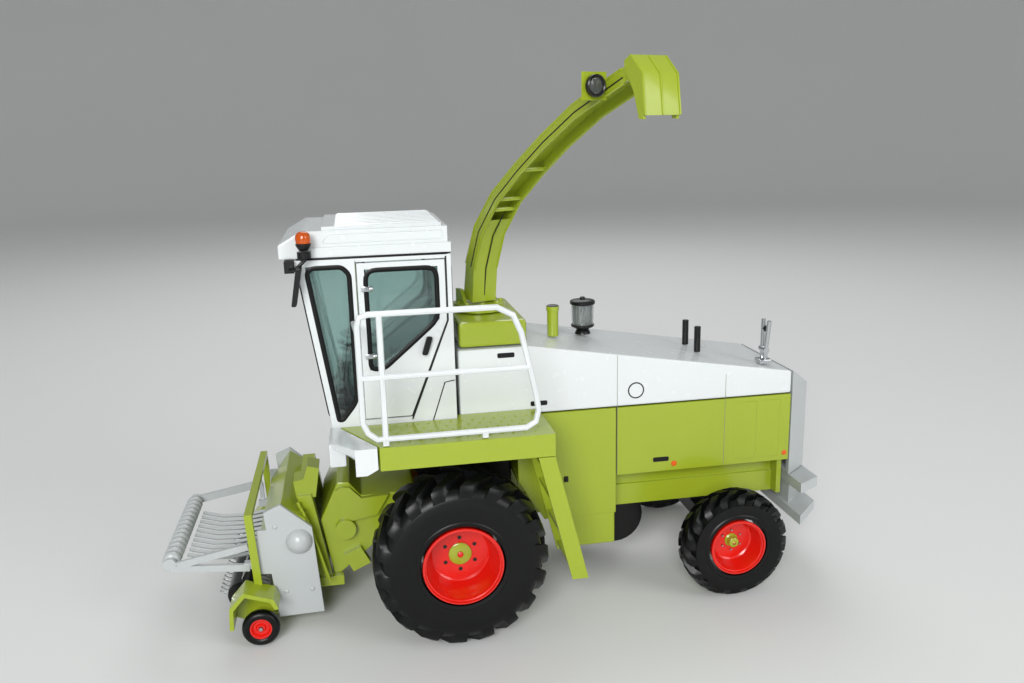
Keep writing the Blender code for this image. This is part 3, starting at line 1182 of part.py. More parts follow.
def make_wind_guard(carrier):
    """Grey roller in front, its V arms and the row of rods behind it."""
    y, z = ROLLER_Y, ROLLER_Z
    arm_x = ROLLER_HALF + SEAT + 0.8 * MM
    rear_y = HOOP_Y + 1.8 * MM
    arm_y = HOOP_Y - 1.1 * MM
    cross = tube("cross", [(-ROLLER_HALF, rear_y, 21.2 * MM), (ROLLER_HALF, rear_y, 21.2 * MM)], 0.9 * MM)
    parts = []
    for side in (1, -1):
        x = side * arm_x
        if side > 0:
            parts.append(beam("lower", (x, y, z - 1.2 * MM), (x, arm_y, 20.4 * MM), 1.4 * MM, 2.0 * MM))
            parts.append(beam("upper", (x, y + 2 * MM, z - 0.4 * MM), (x, arm_y, 27.0 * MM), 1.2 * MM,
                              2.0 * MM))
        else:
            parts.append(beam("upper", (x, y, z), (x, arm_y, 27.6 * MM), 1.4 * MM, 2.4 * MM))
            parts.append(box("drop", (x - 0.45 * MM, arm_y - 1.1 * MM, 20.6 * MM),
                             (x + 0.45 * MM, arm_y + 0.3 * MM, 27.4 * MM)))
        parts.append(rod("cap", (x - side * 0.6 * MM, y, z), (x + side * 0.6 * MM, y, z), 1.9 * MM,
                         sides=16))
        low, high = sorted((side * (ROLLER_HALF - 1.0 * MM), side * (arm_x + 0.4 * MM)))
        parts.append(box("stay", (low, arm_y - 1.6 * MM, 19.9 * MM), (high, arm_y + 0.9 * MM, 21.8 * MM)))
        low, high = sorted((side * (ROLLER_HALF - 1.0 * MM), side * (ROLLER_HALF + 0.5 * MM)))
        parts.append(box("lug", (low, arm_y + 0.4 * MM, 20.2 * MM), (high, rear_y + 0.5 * MM, 22.1 * MM)))
    for k in range(TINE_COUNT):
        x = TINE_SPREAD * (2 * k / (TINE_COUNT - 1) - 1)
        points = [(x, rear_y, 21.2 * MM), (x, -66 * MM, 20.2 * MM), (x, -73 * MM, 20.6 * MM),
                  (x, y + 3.4 * MM, 22.4 * MM)]
        parts.append(tube("rod", points, TINE_R, sides=0))
    return finish(join(cross, *parts), "wind_guard", "grey_paint", carrier)


def make_roller(carrier):
    spin = empty("press_roller_axis", (0, ROLLER_Y, ROLLER_Z), carrier)
    half = ROLLER_HALF
    outline = [(0, -half), (1.4 * MM, -half), (ROLLER_R, -half + 1.4 * MM), (ROLLER_R, half - 1.4 * MM),
               (1.4 * MM, half), (0, half)]
    roller = turned("roller", outline, (0, ROLLER_Y, ROLLER_Z), (1, 0, 0), 20, closed=False)
    finish(roller, "press_roller", "grey_paint", spin)


def make_reel(carrier):
    spin = empty("pickup_reel_axis", (0, REEL_Y, REEL_Z), carrier)
    core = rod("core", (-REEL_HALF, REEL_Y, REEL_Z), (REEL_HALF, REEL_Y, REEL_Z), REEL_R * 0.62, sides=20)
    reach = HEADER_HALF
    shaft = rod("shaft", (-reach, REEL_Y, REEL_Z), (reach, REEL_Y, REEL_Z), 1.0 * MM, sides=14)
    return finish(join(core, shaft), "pickup_reel", "black_paint", spin)


def make_header():
    lift = empty("header_lift_axis", (0, LIFT_Y, LIFT_Z), root())
    make_feeder(lift)
    make_header_frame(lift)
    make_header_sides(lift)
    make_hoop(lift)
    make_gauge_wheels(lift)
    make_wind_guard(lift)
    make_roller(lift)
    make_reel(lift)


def main():
    clear_scene()
    new_collection(COLLECTION)
    new_collection("cutters")
    empty("origin", (0, 0, 0))
    make_chassis()
    make_front_axle()
    make_rear_axle()
    make_front_wheels()
    make_rear_wheels()
    make_bonnet()
    make_side_panels()
    make_cutter_housing()
    make_tail()
    make_bumper()
    make_cab()
    make_glass()
    make_roof()
    make_cab_inside()
    make_door()
    make_platforms()
    make_handrail()
    make_ladder()
    make_spout_housing()
    make_spout()
    make_filler()
    make_precleaner()
    make_stubs()
    make_spout_rest()
    make_mirror()
    make_header()
    root().location = (-ORIGIN_X, -ORIGIN_Y, 0)


main()
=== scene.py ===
"""Looks for the 1:32 die-cast forage harvester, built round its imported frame.

Every operator draws its pieces in the machine's own millimetres, where Y = 0 is the
front axle, X = 0 the middle plane, -Y the front and +X the machine's left, and lays
them into the frame's metres at the end.
"""

import json
from math import cos, pi, radians, sin

import bmesh
import bpy
from bpy.props import FloatProperty, FloatVectorProperty, IntProperty, PointerProperty
from mathutils import Matrix, Vector

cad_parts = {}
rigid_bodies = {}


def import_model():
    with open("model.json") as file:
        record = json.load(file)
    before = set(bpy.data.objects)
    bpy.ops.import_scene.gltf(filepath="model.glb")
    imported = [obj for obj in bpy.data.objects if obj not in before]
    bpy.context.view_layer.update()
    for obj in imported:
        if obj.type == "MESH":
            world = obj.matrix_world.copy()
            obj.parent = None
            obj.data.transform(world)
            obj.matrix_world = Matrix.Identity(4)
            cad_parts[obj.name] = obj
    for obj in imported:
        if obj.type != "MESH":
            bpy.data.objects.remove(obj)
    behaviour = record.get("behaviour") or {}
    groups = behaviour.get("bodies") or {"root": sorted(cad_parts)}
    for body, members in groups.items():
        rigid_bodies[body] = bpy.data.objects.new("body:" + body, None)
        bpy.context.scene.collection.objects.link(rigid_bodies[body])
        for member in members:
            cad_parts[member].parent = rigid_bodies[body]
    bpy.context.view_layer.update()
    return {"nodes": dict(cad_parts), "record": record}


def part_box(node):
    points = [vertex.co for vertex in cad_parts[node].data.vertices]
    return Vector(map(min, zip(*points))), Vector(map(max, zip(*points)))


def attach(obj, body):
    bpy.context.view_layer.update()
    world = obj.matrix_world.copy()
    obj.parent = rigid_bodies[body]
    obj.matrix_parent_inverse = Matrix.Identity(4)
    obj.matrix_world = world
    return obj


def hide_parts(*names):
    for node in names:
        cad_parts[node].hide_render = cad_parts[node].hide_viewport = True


bl_info = {
    "name": "Forage harvester model",
    "version": (1, 0, 0),
    "blender": (4, 5, 0),
    "location": "View3D > Sidebar > Harvester",
    "description": "Finishes and small parts of a 1:32 forage harvester",
    "category": "Object",
}

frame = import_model()
MM = 0.001


def middle(node):
    low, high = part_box(node)
    return (low + high) / 2


AXLE = (middle("front_tyre_left") + middle("front_tyre_right")) / 2
INTO_FRAME = Matrix.Translation((AXLE.x, AXLE.y, 0)) @ Matrix.Scale(MM, 4)
LEFTWARD = (1, 0, 0)
UPWARD = (0, 0, 1)

# places in the machine's millimetres
BODY_X = 19.5
CAB_X = 22.5
HEADER_X = 25.0
ROOF_EDGE_Z = 109.75
SIGN = (BODY_X, 58.6, 64.0)
CLEANER = (-4.5, 48.0)
FILLER = (2.4, 36.4)
ROLLER = (-82.4, 23.7)
REEL = (-63.5, 10.6)
GAUGE_X, GAUGE_Y, GAUGE_Z = 32.1, -57.7, 5.4
TURRET_Z = 91.0
FLAP_Y, FLAP_Z = 94.717, 156.811
SPOUT_Y = 13.5
SPOUT_TURN = radians(-70)
AT_SPOUT = (Matrix.Translation((0, SPOUT_Y, 0)) @ Matrix.Rotation(SPOUT_TURN, 4, "Z")
            @ Matrix.Translation((0, -SPOUT_Y, 0)))


# ---- finishes --------------------------------------------------------------------
def linear(code):
    """Linear colour of an sRGB hex code."""
    parts = [int(code[k:k + 2], 16) / 255 for k in (1, 3, 5)]
    return tuple(p / 12.92 if p <= 0.04045 else ((p + 0.055) / 1.055) ** 2.4 for p in parts) + (1.0,)


def add(tree, kind, inputs=None, **settings):
    """A node with its settings; inputs holds a value or another node's socket for each input."""
    made = tree.nodes.new(kind)
    for key, value in settings.items():
        setattr(made, key, value)
    for key, value in (inputs or {}).items():
        if isinstance(value, bpy.types.NodeSocket):
            tree.links.new(value, made.inputs[key])
        else:
            made.inputs[key].default_value = value
    return made


def finish(name, colour, shade, patch, grain, lift, rough, **shader):
    """A finish whose colour drifts to shade over patch mm, with a grain in mm lifted by lift mm."""
    made = bpy.data.materials.new(name)
    made.use_nodes = True
    tree = made.node_tree
    body = tree.nodes["Principled BSDF"]
    place = add(tree, "ShaderNodeTexCoord").outputs["Object"]
    broad = add(tree, "ShaderNodeTexNoise", {"Vector": place, "Scale": 1 / (patch * MM), "Detail": 3.0})
    fine = add(tree, "ShaderNodeTexNoise", {"Vector": place, "Scale": 1 / (grain * MM), "Detail": 2.0})
    tint = add(tree, "ShaderNodeMix", data_type="RGBA",
               inputs={"Factor": broad.outputs["Fac"], "A": linear(colour),
                       "B": linear(shade)})
    gloss = add(tree, "ShaderNodeMapRange",
                {"Value": fine.outputs["Fac"], "To Min": rough[0], "To Max": rough[1]})
    bump = add(tree, "ShaderNodeBump",
               {"Height": fine.outputs["Fac"], "Distance": lift * MM, "Strength": 0.5})
    tree.links.new(tint.outputs["Result"], body.inputs["Base Color"])
    tree.links.new(gloss.outputs["Result"], body.inputs["Roughness"])
    tree.links.new(bump.outputs["Normal"], body.inputs["Normal"])
    for key, value in shader.items():
        body.inputs[SOCKETS[key]].default_value = value
    return made


SOCKETS = {
    "coat_weight": "Coat Weight",
    "coat_roughness": "Coat Roughness",
    "specular_ior_level": "Specular IOR Level",
    "transmission_weight": "Transmission Weight",
    "ior": "IOR",
    "alpha": "Alpha",
    "metallic": "Metallic",
}
# Each row is colour, shade, drift in mm, grain in mm, grain height in mm, roughness and shader.
# Grains are drawn coarse enough to show: 3 mm for the orange peel of the enamels, and
# none under 0.25 mm.
FINISHES = {
    # sprayed enamel on zinc casting: high gloss, with the faint orange peel of thick paint
    "green_enamel": ("#98A828", "#8F9F24", 30, 3.0, 0.0012, (0.22, 0.28),
                     dict(coat_weight=0.3, coat_roughness=0.12)),
    "white_enamel": ("#D6DADB", "#D0D5D6", 40, 3.0, 0.0008, (0.24, 0.29),
                     dict(coat_weight=0.25, coat_roughness=0.12)),
    # satin enamel, a shade darker, on the tail and header sides
    "grey_enamel": ("#B4B9B9", "#ADB2B2", 30, 3.0, 0.0012, (0.30, 0.36),
                    dict(coat_weight=0.2, coat_roughness=0.2)),
    # moulded ABS: even colour through the part, low gloss
    "red_abs": ("#D8190C", "#C91308", 12, 0.8, 0.004, (0.18, 0.28), dict(coat_weight=0.2)),
    "black_abs": ("#080909", "#0D0E0E", 15, 0.6, 0.006, (0.26, 0.38), dict(specular_ior_level=0.35)),
    # soft PVC tyres: near-black skin with a low waxy gloss
    "tyre_pvc": ("#030404", "#070808", 8, 0.6, 0.010, (0.30, 0.42), dict(specular_ior_level=0.28)),
    "seal_rubber": ("#030404", "#080909", 6, 0.6, 0.005, (0.32, 0.42), dict(specular_ior_level=0.25)),
    # clear polystyrene glazing with a blue-green tint
    "tinted_styrene": ("#A6CEC8", "#9FC8C2", 40, 2.5, 0.0004, (0.01, 0.03),
                       dict(transmission_weight=1.0, ior=1.5, alpha=0.6)),
    "clear_styrene": ("#D5DAD9", "#CBD1D0", 10, 2.0, 0.0006, (0.03, 0.07),
                      dict(transmission_weight=0.9, ior=1.5)),
    "amber_styrene": ("#E0660F", "#CE520A", 4, 1.2, 0.002, (0.06, 0.12),
                      dict(transmission_weight=0.35, ior=1.5)),
    # turned brass pin ends and bright zinc plating
    "brass": ("#B98A4A", "#A67838", 3, 0.25, 0.006, (0.28, 0.42), dict(metallic=0.9)),
    "bright_zinc": ("#C9CCCE", "#B7BBBE", 4, 0.4, 0.003, (0.16, 0.28), dict(metallic=1.0)),
    # near-black for slots, panel gaps, seams and printed rings, and painted shade for the dark inside of
    # the front wheels' bolt holes, the breather bores and the chute's grooves
    "black_line_and_painted_shade": ("#15170F", "#101209", 8, 0.5, 0.006, (0.5, 0.65), {}),
    # the shade that settles in a fine joint between two painted panels
    "seam_shade": ("#7F8568", "#747A5E", 8, 0.5, 0.004, (0.5, 0.65), {}),
    "marker_orange": ("#DC5A10", "#CE4F0B", 3, 0.6, 0.004, (0.15, 0.25), dict(coat_weight=0.3)),
    # plain pale card that the model stands on
    "studio_card": ("#DADBDA", "#D6D7D6", 300, 6.0, 0.01, (0.75, 0.85), {}),
}
CAD_FINISH = {
    "light_green": "green_enamel",
    "white_paint": "white_enamel",
    "grey_paint": "grey_enamel",
    "red_paint": "red_abs",
    "black_paint": "black_abs",
    "tyre_rubber": "tyre_pvc",
    "tinted_glass": "tinted_styrene",
    "amber_plastic": "amber_styrene",
    "bright_metal": "bright_zinc",
}


def material(name):
    if name not in bpy.data.materials:
        *row, shader = FINISHES[name]
        finish(name, *row, **shader)
    return bpy.data.materials[name]


# ---- shapes, in the machine's millimetres ----------------------------------------
def block(low, high, soft=0.15):
    bm = bmesh.new()
    low, high = Vector(low), Vector(high)
    bmesh.ops.create_cube(bm, size=1.0, matrix=Matrix.Translation((low + high) / 2)
                          @ Matrix.Diagonal((*(high - low), 1.0)))
    if soft:
        bmesh.ops.bevel(bm, geom=bm.edges[:], offset=soft, segments=2, affect="EDGES", profile=0.5)
    return bm


def prism(outline, axis, low, high, soft=0.0):
    """The closed outline across axis: (y, z) across X, (x, z) across Y, (x, y) across Z."""
    bm = bmesh.new()

    def point(a, b, c):
        return {"X": (c, a, b), "Y": (a, c, b), "Z": (a, b, c)}[axis]

    ends = [[bm.verts.new(point(a, b, c)) for a, b in outline] for c in (low, high)]
    bm.faces.new(ends[0])
    bm.faces.new(ends[1])
    for k in range(len(outline)):
        j = (k + 1) % len(outline)
        bm.faces.new((ends[0][k], ends[0][j], ends[1][j], ends[1][k]))
    bmesh.ops.recalc_face_normals(bm, faces=bm.faces)
    if soft:
        bmesh.ops.bevel(bm, geom=bm.edges[:], offset=soft, segments=2, affect="EDGES", profile=0.5)
    return bm


def lathe(profile, centre, axis, steps=48):
    """The (radius, along) profile turned round axis through centre, closed where it meets the axis."""
    bm = bmesh.new()
    turn = Vector((0, 0, 1)).rotation_difference(Vector(axis)).to_matrix().to_4x4()
    place = Matrix.Translation(centre) @ turn
    rings = []
    for radius, high in profile:
        if radius == 0:
            rings.append([bm.verts.new(place @ Vector((0, 0, high)))])
            continue
        rings.append([bm.verts.new(place @ Vector((radius * cos(2 * pi * k / steps),
                                                   radius * sin(2 * pi * k / steps), high)))
                      for k in range(steps)])
    closed = profile[0][0] != 0
    pairs = list(zip(rings, rings[1:] + rings[:1])) if closed else list(zip(rings, rings[1:]))
    for one, two in pairs:
        for k in range(steps):
            j = (k + 1) % steps
            corners = []
            for vert in (one[k % len(one)], one[j % len(one)], two[j % len(two)], two[k % len(two)]):
                if vert not in corners:
                    corners.append(vert)
            if len(corners) > 2:
                bm.faces.new(corners)
    bmesh.ops.recalc_face_normals(bm, faces=bm.faces)
    return bm


def tube(points, radius, sides=10, cyclic=False, flat=1.0):
    """A round wire through points, with its ends closed; flat squashes it across X."""
    bm = bmesh.new()
    points = [Vector(p) for p in points]
    count = len(points)
    rings = []
    up = None
    for k, point in enumerate(points):
        before = points[k - 1] if k or cyclic else points[0]
        after = points[(k + 1) % count] if k + 1 < count or cyclic else points[-1]
        run = (after - before).normalized()
        if up is None:
            up = run.orthogonal().normalized()
        up = (up - run * up.dot(run)).normalized()
        side = run.cross(up)
        ring = []
        for n in range(sides):
            turn = 2 * pi * n / sides
            step = (up * cos(turn) + side * sin(turn)) * radius
            step.x *= flat
            ring.append(bm.verts.new(point + step))
        rings.append(ring)
    pairs = list(zip(rings, rings[1:]))
    if cyclic:
        # the last ring meets the first with the smallest twist
        first = rings[0]
        last = rings[-1]
        shift = min(range(sides), key=lambda s: (last[0].co - first[s].co).length)
        pairs.append((last, first[shift:] + first[:shift]))
    else:
        bm.faces.new(rings[0])
        bm.faces.new(rings[-1])
    for one, two in pairs:
        for n in range(sides):
            m = (n + 1) % sides
            bm.faces.new((one[n], one[m], two[m], two[n]))
    bmesh.ops.recalc_face_normals(bm, faces=bm.faces)
    return bm


def softened(corners, radius, steps=5):
    """The closed run of corners with each corner rounded off."""
    corners = [Vector(c) for c in corners]
    points = []
    for k, corner in enumerate(corners):
        back = corners[k - 1] - corner
        ahead = corners[(k + 1) % len(corners)] - corner
        reach = min(radius, back.length * 0.45, ahead.length * 0.45)
        start = corner + back.normalized() * reach
        end = corner + ahead.normalized() * reach
        for n in range(steps + 1):
            t = n / steps
            points.append(start * (1 - t) ** 2 + corner * 2 * t * (1 - t) + end * t ** 2)
    return points


def merged(*parts):
    """The bmeshes as one, without joining their faces."""
    whole = bmesh.new()
    for part in parts:
        mesh = bpy.data.meshes.new("part")
        part.to_mesh(mesh)
        part.free()
        whole.from_mesh(mesh)
        bpy.data.meshes.remove(mesh)
    return whole


def placed(name, bm, finish_name, matrix=None, smooth=True):
    """The bmesh as an object whose place is in its mesh."""
    mesh = bpy.data.meshes.new(name)
    bm.to_mesh(mesh)
    bm.free()
    mesh.transform(INTO_FRAME @ (matrix or Matrix.Identity(4)))
    if smooth:
        mesh.polygons.foreach_set("use_smooth", [True] * len(mesh.polygons))
        mesh.set_sharp_from_angle(angle=radians(38))
    mesh.materials.append(material(finish_name))
    obj = bpy.data.objects.new(name, mesh)
    bpy.context.scene.collection.objects.link(obj)
    return obj


def settle(obj, body, stands_for=()):
    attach(obj, body)
    if stands_for:
        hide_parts(*stands_for)
    return obj


def piece(name, bm, finish_name, body, matrix=None, stands_for=(), smooth=True):
    return settle(placed(name, bm, finish_name, matrix, smooth), body, stands_for)


# ---- repeats ---------------------------------------------------------------------
def repeat_tree():
    """Copies one element count times, each a step and a turn about centre past the last."""
    if "repeat_element" in bpy.data.node_groups:
        return bpy.data.node_groups["repeat_element"]
    tree = bpy.data.node_groups.new("repeat_element", "GeometryNodeTree")
    face = tree.interface
    face.new_socket("Geometry", in_out="INPUT", socket_type="NodeSocketGeometry")
    face.new_socket("Count", in_out="INPUT", socket_type="NodeSocketInt")
    face.new_socket("Centre", in_out="INPUT", socket_type="NodeSocketVector")
    face.new_socket("Step", in_out="INPUT", socket_type="NodeSocketVector")
    face.new_socket("Turn", in_out="INPUT", socket_type="NodeSocketVector")
    face.new_socket("Material", in_out="INPUT", socket_type="NodeSocketMaterial")
    face.new_socket("Geometry", in_out="OUTPUT", socket_type="NodeSocketGeometry")
    given = add(tree, "NodeGroupInput").outputs
    back = add(tree, "ShaderNodeVectorMath", {0: given["Centre"], "Scale": -1.0}, operation="SCALE")
    element = add(tree, "GeometryNodeTransform", {"Geometry": given["Geometry"],
                                                  "Translation": back.outputs["Vector"]})
    line = add(tree, "GeometryNodeMeshLine", {"Count": given["Count"], "Start Location": given["Centre"],
                                              "Offset": given["Step"]})
    index = add(tree, "GeometryNodeInputIndex").outputs["Index"]
    turn = add(tree, "ShaderNodeVectorMath", {0: given["Turn"], "Scale": index}, operation="SCALE")
    copies = add(tree, "GeometryNodeInstanceOnPoints", {"Points": line.outputs["Mesh"],
                                                        "Instance": element.outputs["Geometry"],
                                                        "Rotation": turn.outputs["Vector"]})
    real = add(tree, "GeometryNodeRealizeInstances", {"Geometry": copies.outputs["Instances"]})
    painted = add(tree, "GeometryNodeSetMaterial", {"Geometry": real.outputs["Geometry"],
                                                    "Material": given["Material"]})
    add(tree, "NodeGroupOutput", {"Geometry": painted.outputs["Geometry"]})
    return tree


def repeated(name, bm, finish_name, body, count, centre=(0, 0, 0), step=(0, 0, 0), turn=(0, 0, 0),
             matrix=None, stands_for=(), smooth=True):
    """The element repeated by the node tree and baked to a plain mesh."""
    seed = placed(name + "_element", bm, finish_name, None, smooth)
    modifier = seed.modifiers.new("repeat", "NODES")
    modifier.node_group = repeat_tree()
    values = {"Count": count, "Centre": INTO_FRAME @ Vector(centre), "Step": Vector(step) * MM,
              "Turn": Vector(turn), "Material": material(finish_name)}
    for item in modifier.node_group.interface.items_tree:
        if item.in_out == "INPUT" and item.name in values:
            modifier[item.identifier] = values[item.name]
    bpy.context.view_layer.update()
    graph = bpy.context.evaluated_depsgraph_get()
    mesh = bpy.data.meshes.new_from_object(seed.evaluated_get(graph))
    mesh.name = name
    bpy.data.objects.remove(seed)
    if matrix is not None:
        mesh.transform(INTO_FRAME @ matrix @ INTO_FRAME.inverted())
    obj = bpy.data.objects.new(name, mesh)
    bpy.context.scene.collection.objects.link(obj)
    return settle(obj, body, stands_for)


# ---- settings --------------------------------------------------------------------
class WheelSettings(bpy.types.PropertyGroup):
    front_lugs: IntProperty(name="Front lugs", description="Tread bars on each side of a front tyre",
                            default=18, min=8)
    rear_lugs: IntProperty(name="Rear lugs", description="Tread bars on each side of a rear tyre",
                           default=17, min=8)
    lug_height: FloatProperty(name="Lug height", default=2.2, min=0.2,
                              description="How far a bar stands from the carcass, in mm")
    bolts: IntProperty(name="Bolts", description="Bolts round a hub", default=6, min=3)


class CabSettings(bpy.types.PropertyGroup):
    seal: FloatProperty(name="Seal", description="Thickness of the window rubber, in mm", default=1.5,
                        min=0.2)
    roof_ribs: IntProperty(name="Roof ribs", description="Ribs along the roof", default=9, min=2)


class StageSettings(bpy.types.PropertyGroup):
    key_power: FloatProperty(name="Key light", description="Power of the large light", default=8.0,
                             unit="POWER")
    fill_power: FloatProperty(name="Fill light", description="Power of the side light", default=2.4,
                              unit="POWER")
    backdrop: FloatVectorProperty(name="Backdrop", description="Colour of the room", subtype="COLOR",
                                  default=(0.72, 0.73, 0.74))


# ---- CAD nodes -------------------------------------------------------------------
class HARVESTER_OT_frame_finish(bpy.types.Operator):
    """Gives every body panel and casting its paint and its soft moulded edges"""
    bl_idname = "harvester.frame_finish"
    bl_label = "Panels and castings"

    def execute(self, context):
        slots = {row["node"]: row["material_slot"] for row in frame["record"]["subparts"]}
        for name, obj in frame["nodes"].items():
            mesh = obj.data
            mesh.materials.clear()
            mesh.materials.append(material(CAD_FINISH[slots[name]]))
            mesh.polygons.foreach_set("use_smooth", [True] * len(mesh.polygons))
            weld = obj.modifiers.new("weld", "WELD")
            weld.merge_threshold = 2e-6
            if "glass" not in name and name != "windscreen":
                edge = obj.modifiers.new("edge", "BEVEL")
                edge.width = 0.12 * MM
                edge.segments = 2
                edge.limit_method = "ANGLE"
                edge.angle_limit = radians(38)
                edge.use_clamp_overlap = True
            normals = obj.modifiers.new("normals", "WEIGHTED_NORMAL")
            normals.weight = 80
            normals.keep_sharp = False
        return {"FINISHED"}


# ---- wheels ----------------------------------------------------------------------
def tyre_section(radius, width, rim, lug):
    """Closed section of a tyre, with a flange line and a bulge on its wall."""
    half = width / 2
    tread = radius - lug
    out = [(rim + 0.4, half - 1.4), (rim + 0.6, half - 0.5), (rim + 1.6, half - 0.25),
           (rim + 1.9, half - 0.45),
           (rim + (radius - rim) * 0.42, half - 0.1), (rim + (radius - rim) * 0.62, half - 0.12),
           (tread - 1.2, half - 0.9), (tread - 0.4, half - 2.0), (tread, half - 3.4), (tread + 0.1, 0)]
    return out + [(r, -x) for r, x in reversed(out[:-1])]


def lug_bar(radius, width, lug, side, centre, sweep, thick):
    """One slanted tread bar from the tyre's middle over its shoulder."""
    bm = bmesh.new()
    half = width / 2
    stations = [(0.15, 0.0, 0.0), (half * 0.45, 0.1, 0.35), (half - 2.2, 0.5, 0.75),
                (half - 1.0, 1.4, 0.93),
                (half - 0.35, 3.4, 1.0)]
    rings = []
    for x, drop, share in stations:
        turn = -sweep * share
        high = radius - drop
        low = min(high - 0.4, radius - lug - 0.5 - drop * 0.9)
        ring = []
        for r, spread in ((low, 0.62), (high, 0.42), (high, -0.42), (low, -0.62)):
            angle = turn + spread * thick / radius
            ring.append(bm.verts.new(Vector(centre) + Vector((side * x, r * sin(angle), r * cos(angle)))))
        rings.append(ring)
    for one, two in zip(rings, rings[1:]):
        for k in range(4):
            j = (k + 1) % 4
            bm.faces.new((one[k], one[j], two[j], two[k]))
    bm.faces.new(rings[0])
    bm.faces.new(rings[-1])
    bmesh.ops.recalc_face_normals(bm, faces=bm.faces)
    return bm


def rim_section(radius, width, dish):
    """Closed section of a rim, stepped where the rings run round its well."""
    half = width / 2
    face = half - dish
    well = radius - 1.5
    back_well = radius * 0.76
    deep = [(back_well - 0.7, face), (back_well - 0.2, face + 0.4), (back_well, face + 1.5)]
    count = 5
    rise = (half - 2.2 - face - 1.5) / count
    for k in range(count):
        high = face + 1.5 + rise * k
        wide = back_well + (well - back_well) * (k + 1) / count
        deep += [(wide - 0.1, high + rise * 0.3), (wide, high + rise)]
    lip = [(well + 0.25, half - 1.2), (well + 0.4, half - 0.8), (radius - 0.75, half - 0.65),
           (radius - 0.6, half - 0.1), (radius - 0.1, half - 0.2), (radius, half - 0.7),
           (radius - 0.9, half - 1.3)]
    back = [(radius - 0.9, -half + 1.0), (radius - 1.7, -half + 1.0), (radius - 1.7, face - 1.0),
            (back_well - 0.9, face - 1.3), (0, face - 1.3)]
    return [(0, face)] + deep + lip + back


# radius, width, rim radius, depth of its dish, distance out and distance back
WHEELS = {
    "front": (25.1, 18.0, 11.5, 9.0, 38.2, 0.0),
    "rear": (17.0, 10.4, 8.8, 6.2, 33.4, 85.7),
}


class HARVESTER_OT_wheels(bpy.types.Operator):
    """Makes the four lugged tyres on their dished rims, with hubs, rear bolts and the front bolt holes in
    painted shade
    """
    bl_idname = "harvester.wheels"
    bl_label = "Wheels"

    def execute(self, context):
        values = context.scene.harvester_wheels
        for axle, (radius, width, rim, dish, out, y) in WHEELS.items():
            count = values.front_lugs if axle == "front" else values.rear_lugs
            lug = values.lug_height * (1.0 if axle == "front" else 0.85)
            for word, side in (("left", 1), ("right", -1)):
                body = f"{axle}_wheel_{word}"
                centre = Vector((side * out, y, radius))
                axis = (side, 0, 0)
                section = tyre_section(radius, width, rim, lug)
                piece(f"{axle}_carcass_{word}", lathe(section, centre, axis, 72), "tyre_pvc", body,
                      stands_for=[f"{axle}_tyre_{word}"])
                step = 2 * pi / count
                for row, hand in (("outer", 1), ("inner", -1)):
                    bar = lug_bar(radius, width, lug, hand, centre, 0.30 if axle == "front" else 0.36,
                                  4.2 if axle == "front" else 3.1)
                    if hand < 0:
                        bmesh.ops.rotate(bar, verts=bar.verts, cent=centre,
                                         matrix=Matrix.Rotation(step / 2, 3, "X"))
                    repeated(f"{axle}_lugs_{row}_{word}", bar, "tyre_pvc", body, count, centre,
                             turn=(step, 0, 0))
                shape = rim_section(rim, width, dish)
                piece(f"{axle}_dish_{word}", lathe(shape, centre, axis, 56), "red_abs", body,
                      stands_for=[f"{axle}_rim_{word}"])
                face = Vector((side * (width / 2 - dish), 0, 0))
                if axle == "front":
                    hub = [(0, 0.7), (3.0, 0.7), (3.3, 0.5), (3.3, -0.3), (0, -0.3)]
                    pin = [(0, 1.5), (0.5, 1.45), (0.85, 1.2), (0.85, 0.5), (0, 0.5)]
                    # the front wheels' bolt holes are dark discs standing just proud of the dish: painted
                    # shade inside the holes
                    stud = [(0, 0.06), (0.6, 0.06), (0.6, -0.3), (0, -0.3)]
                    ring, paint = 4.9, "black_line_and_painted_shade"
                else:
                    hub = [(0, 2.6), (1.1, 2.6), (1.5, 2.3), (1.6, 0.6), (2.1, 0.2), (2.1, -0.3), (0, -0.3)]
                    pin = [(0, 3.0), (0.4, 2.9), (0.6, 2.7), (0.6, 2.4), (0, 2.4)]
                    stud = [(0, 0.5), (0.25, 0.45), (0.42, 0.2), (0.42, -0.3), (0, -0.3)]
                    ring, paint = 3.3, "bright_zinc"
                piece(f"{axle}_hub_{word}", lathe(hub, centre + face, axis, 32), "green_enamel", body)
                piece(f"{axle}_pin_{word}", lathe(pin, centre + face, axis, 20),
                      "red_abs" if axle == "front" else "brass", body)
                bolt = lathe(stud, centre + face + Vector((0, 0, ring)), axis, 12)
                repeated(f"{axle}_bolts_{word}", bolt, paint, body, values.bolts, centre,
                         turn=(2 * pi / values.bolts, 0, 0))
        return {"FINISHED"}


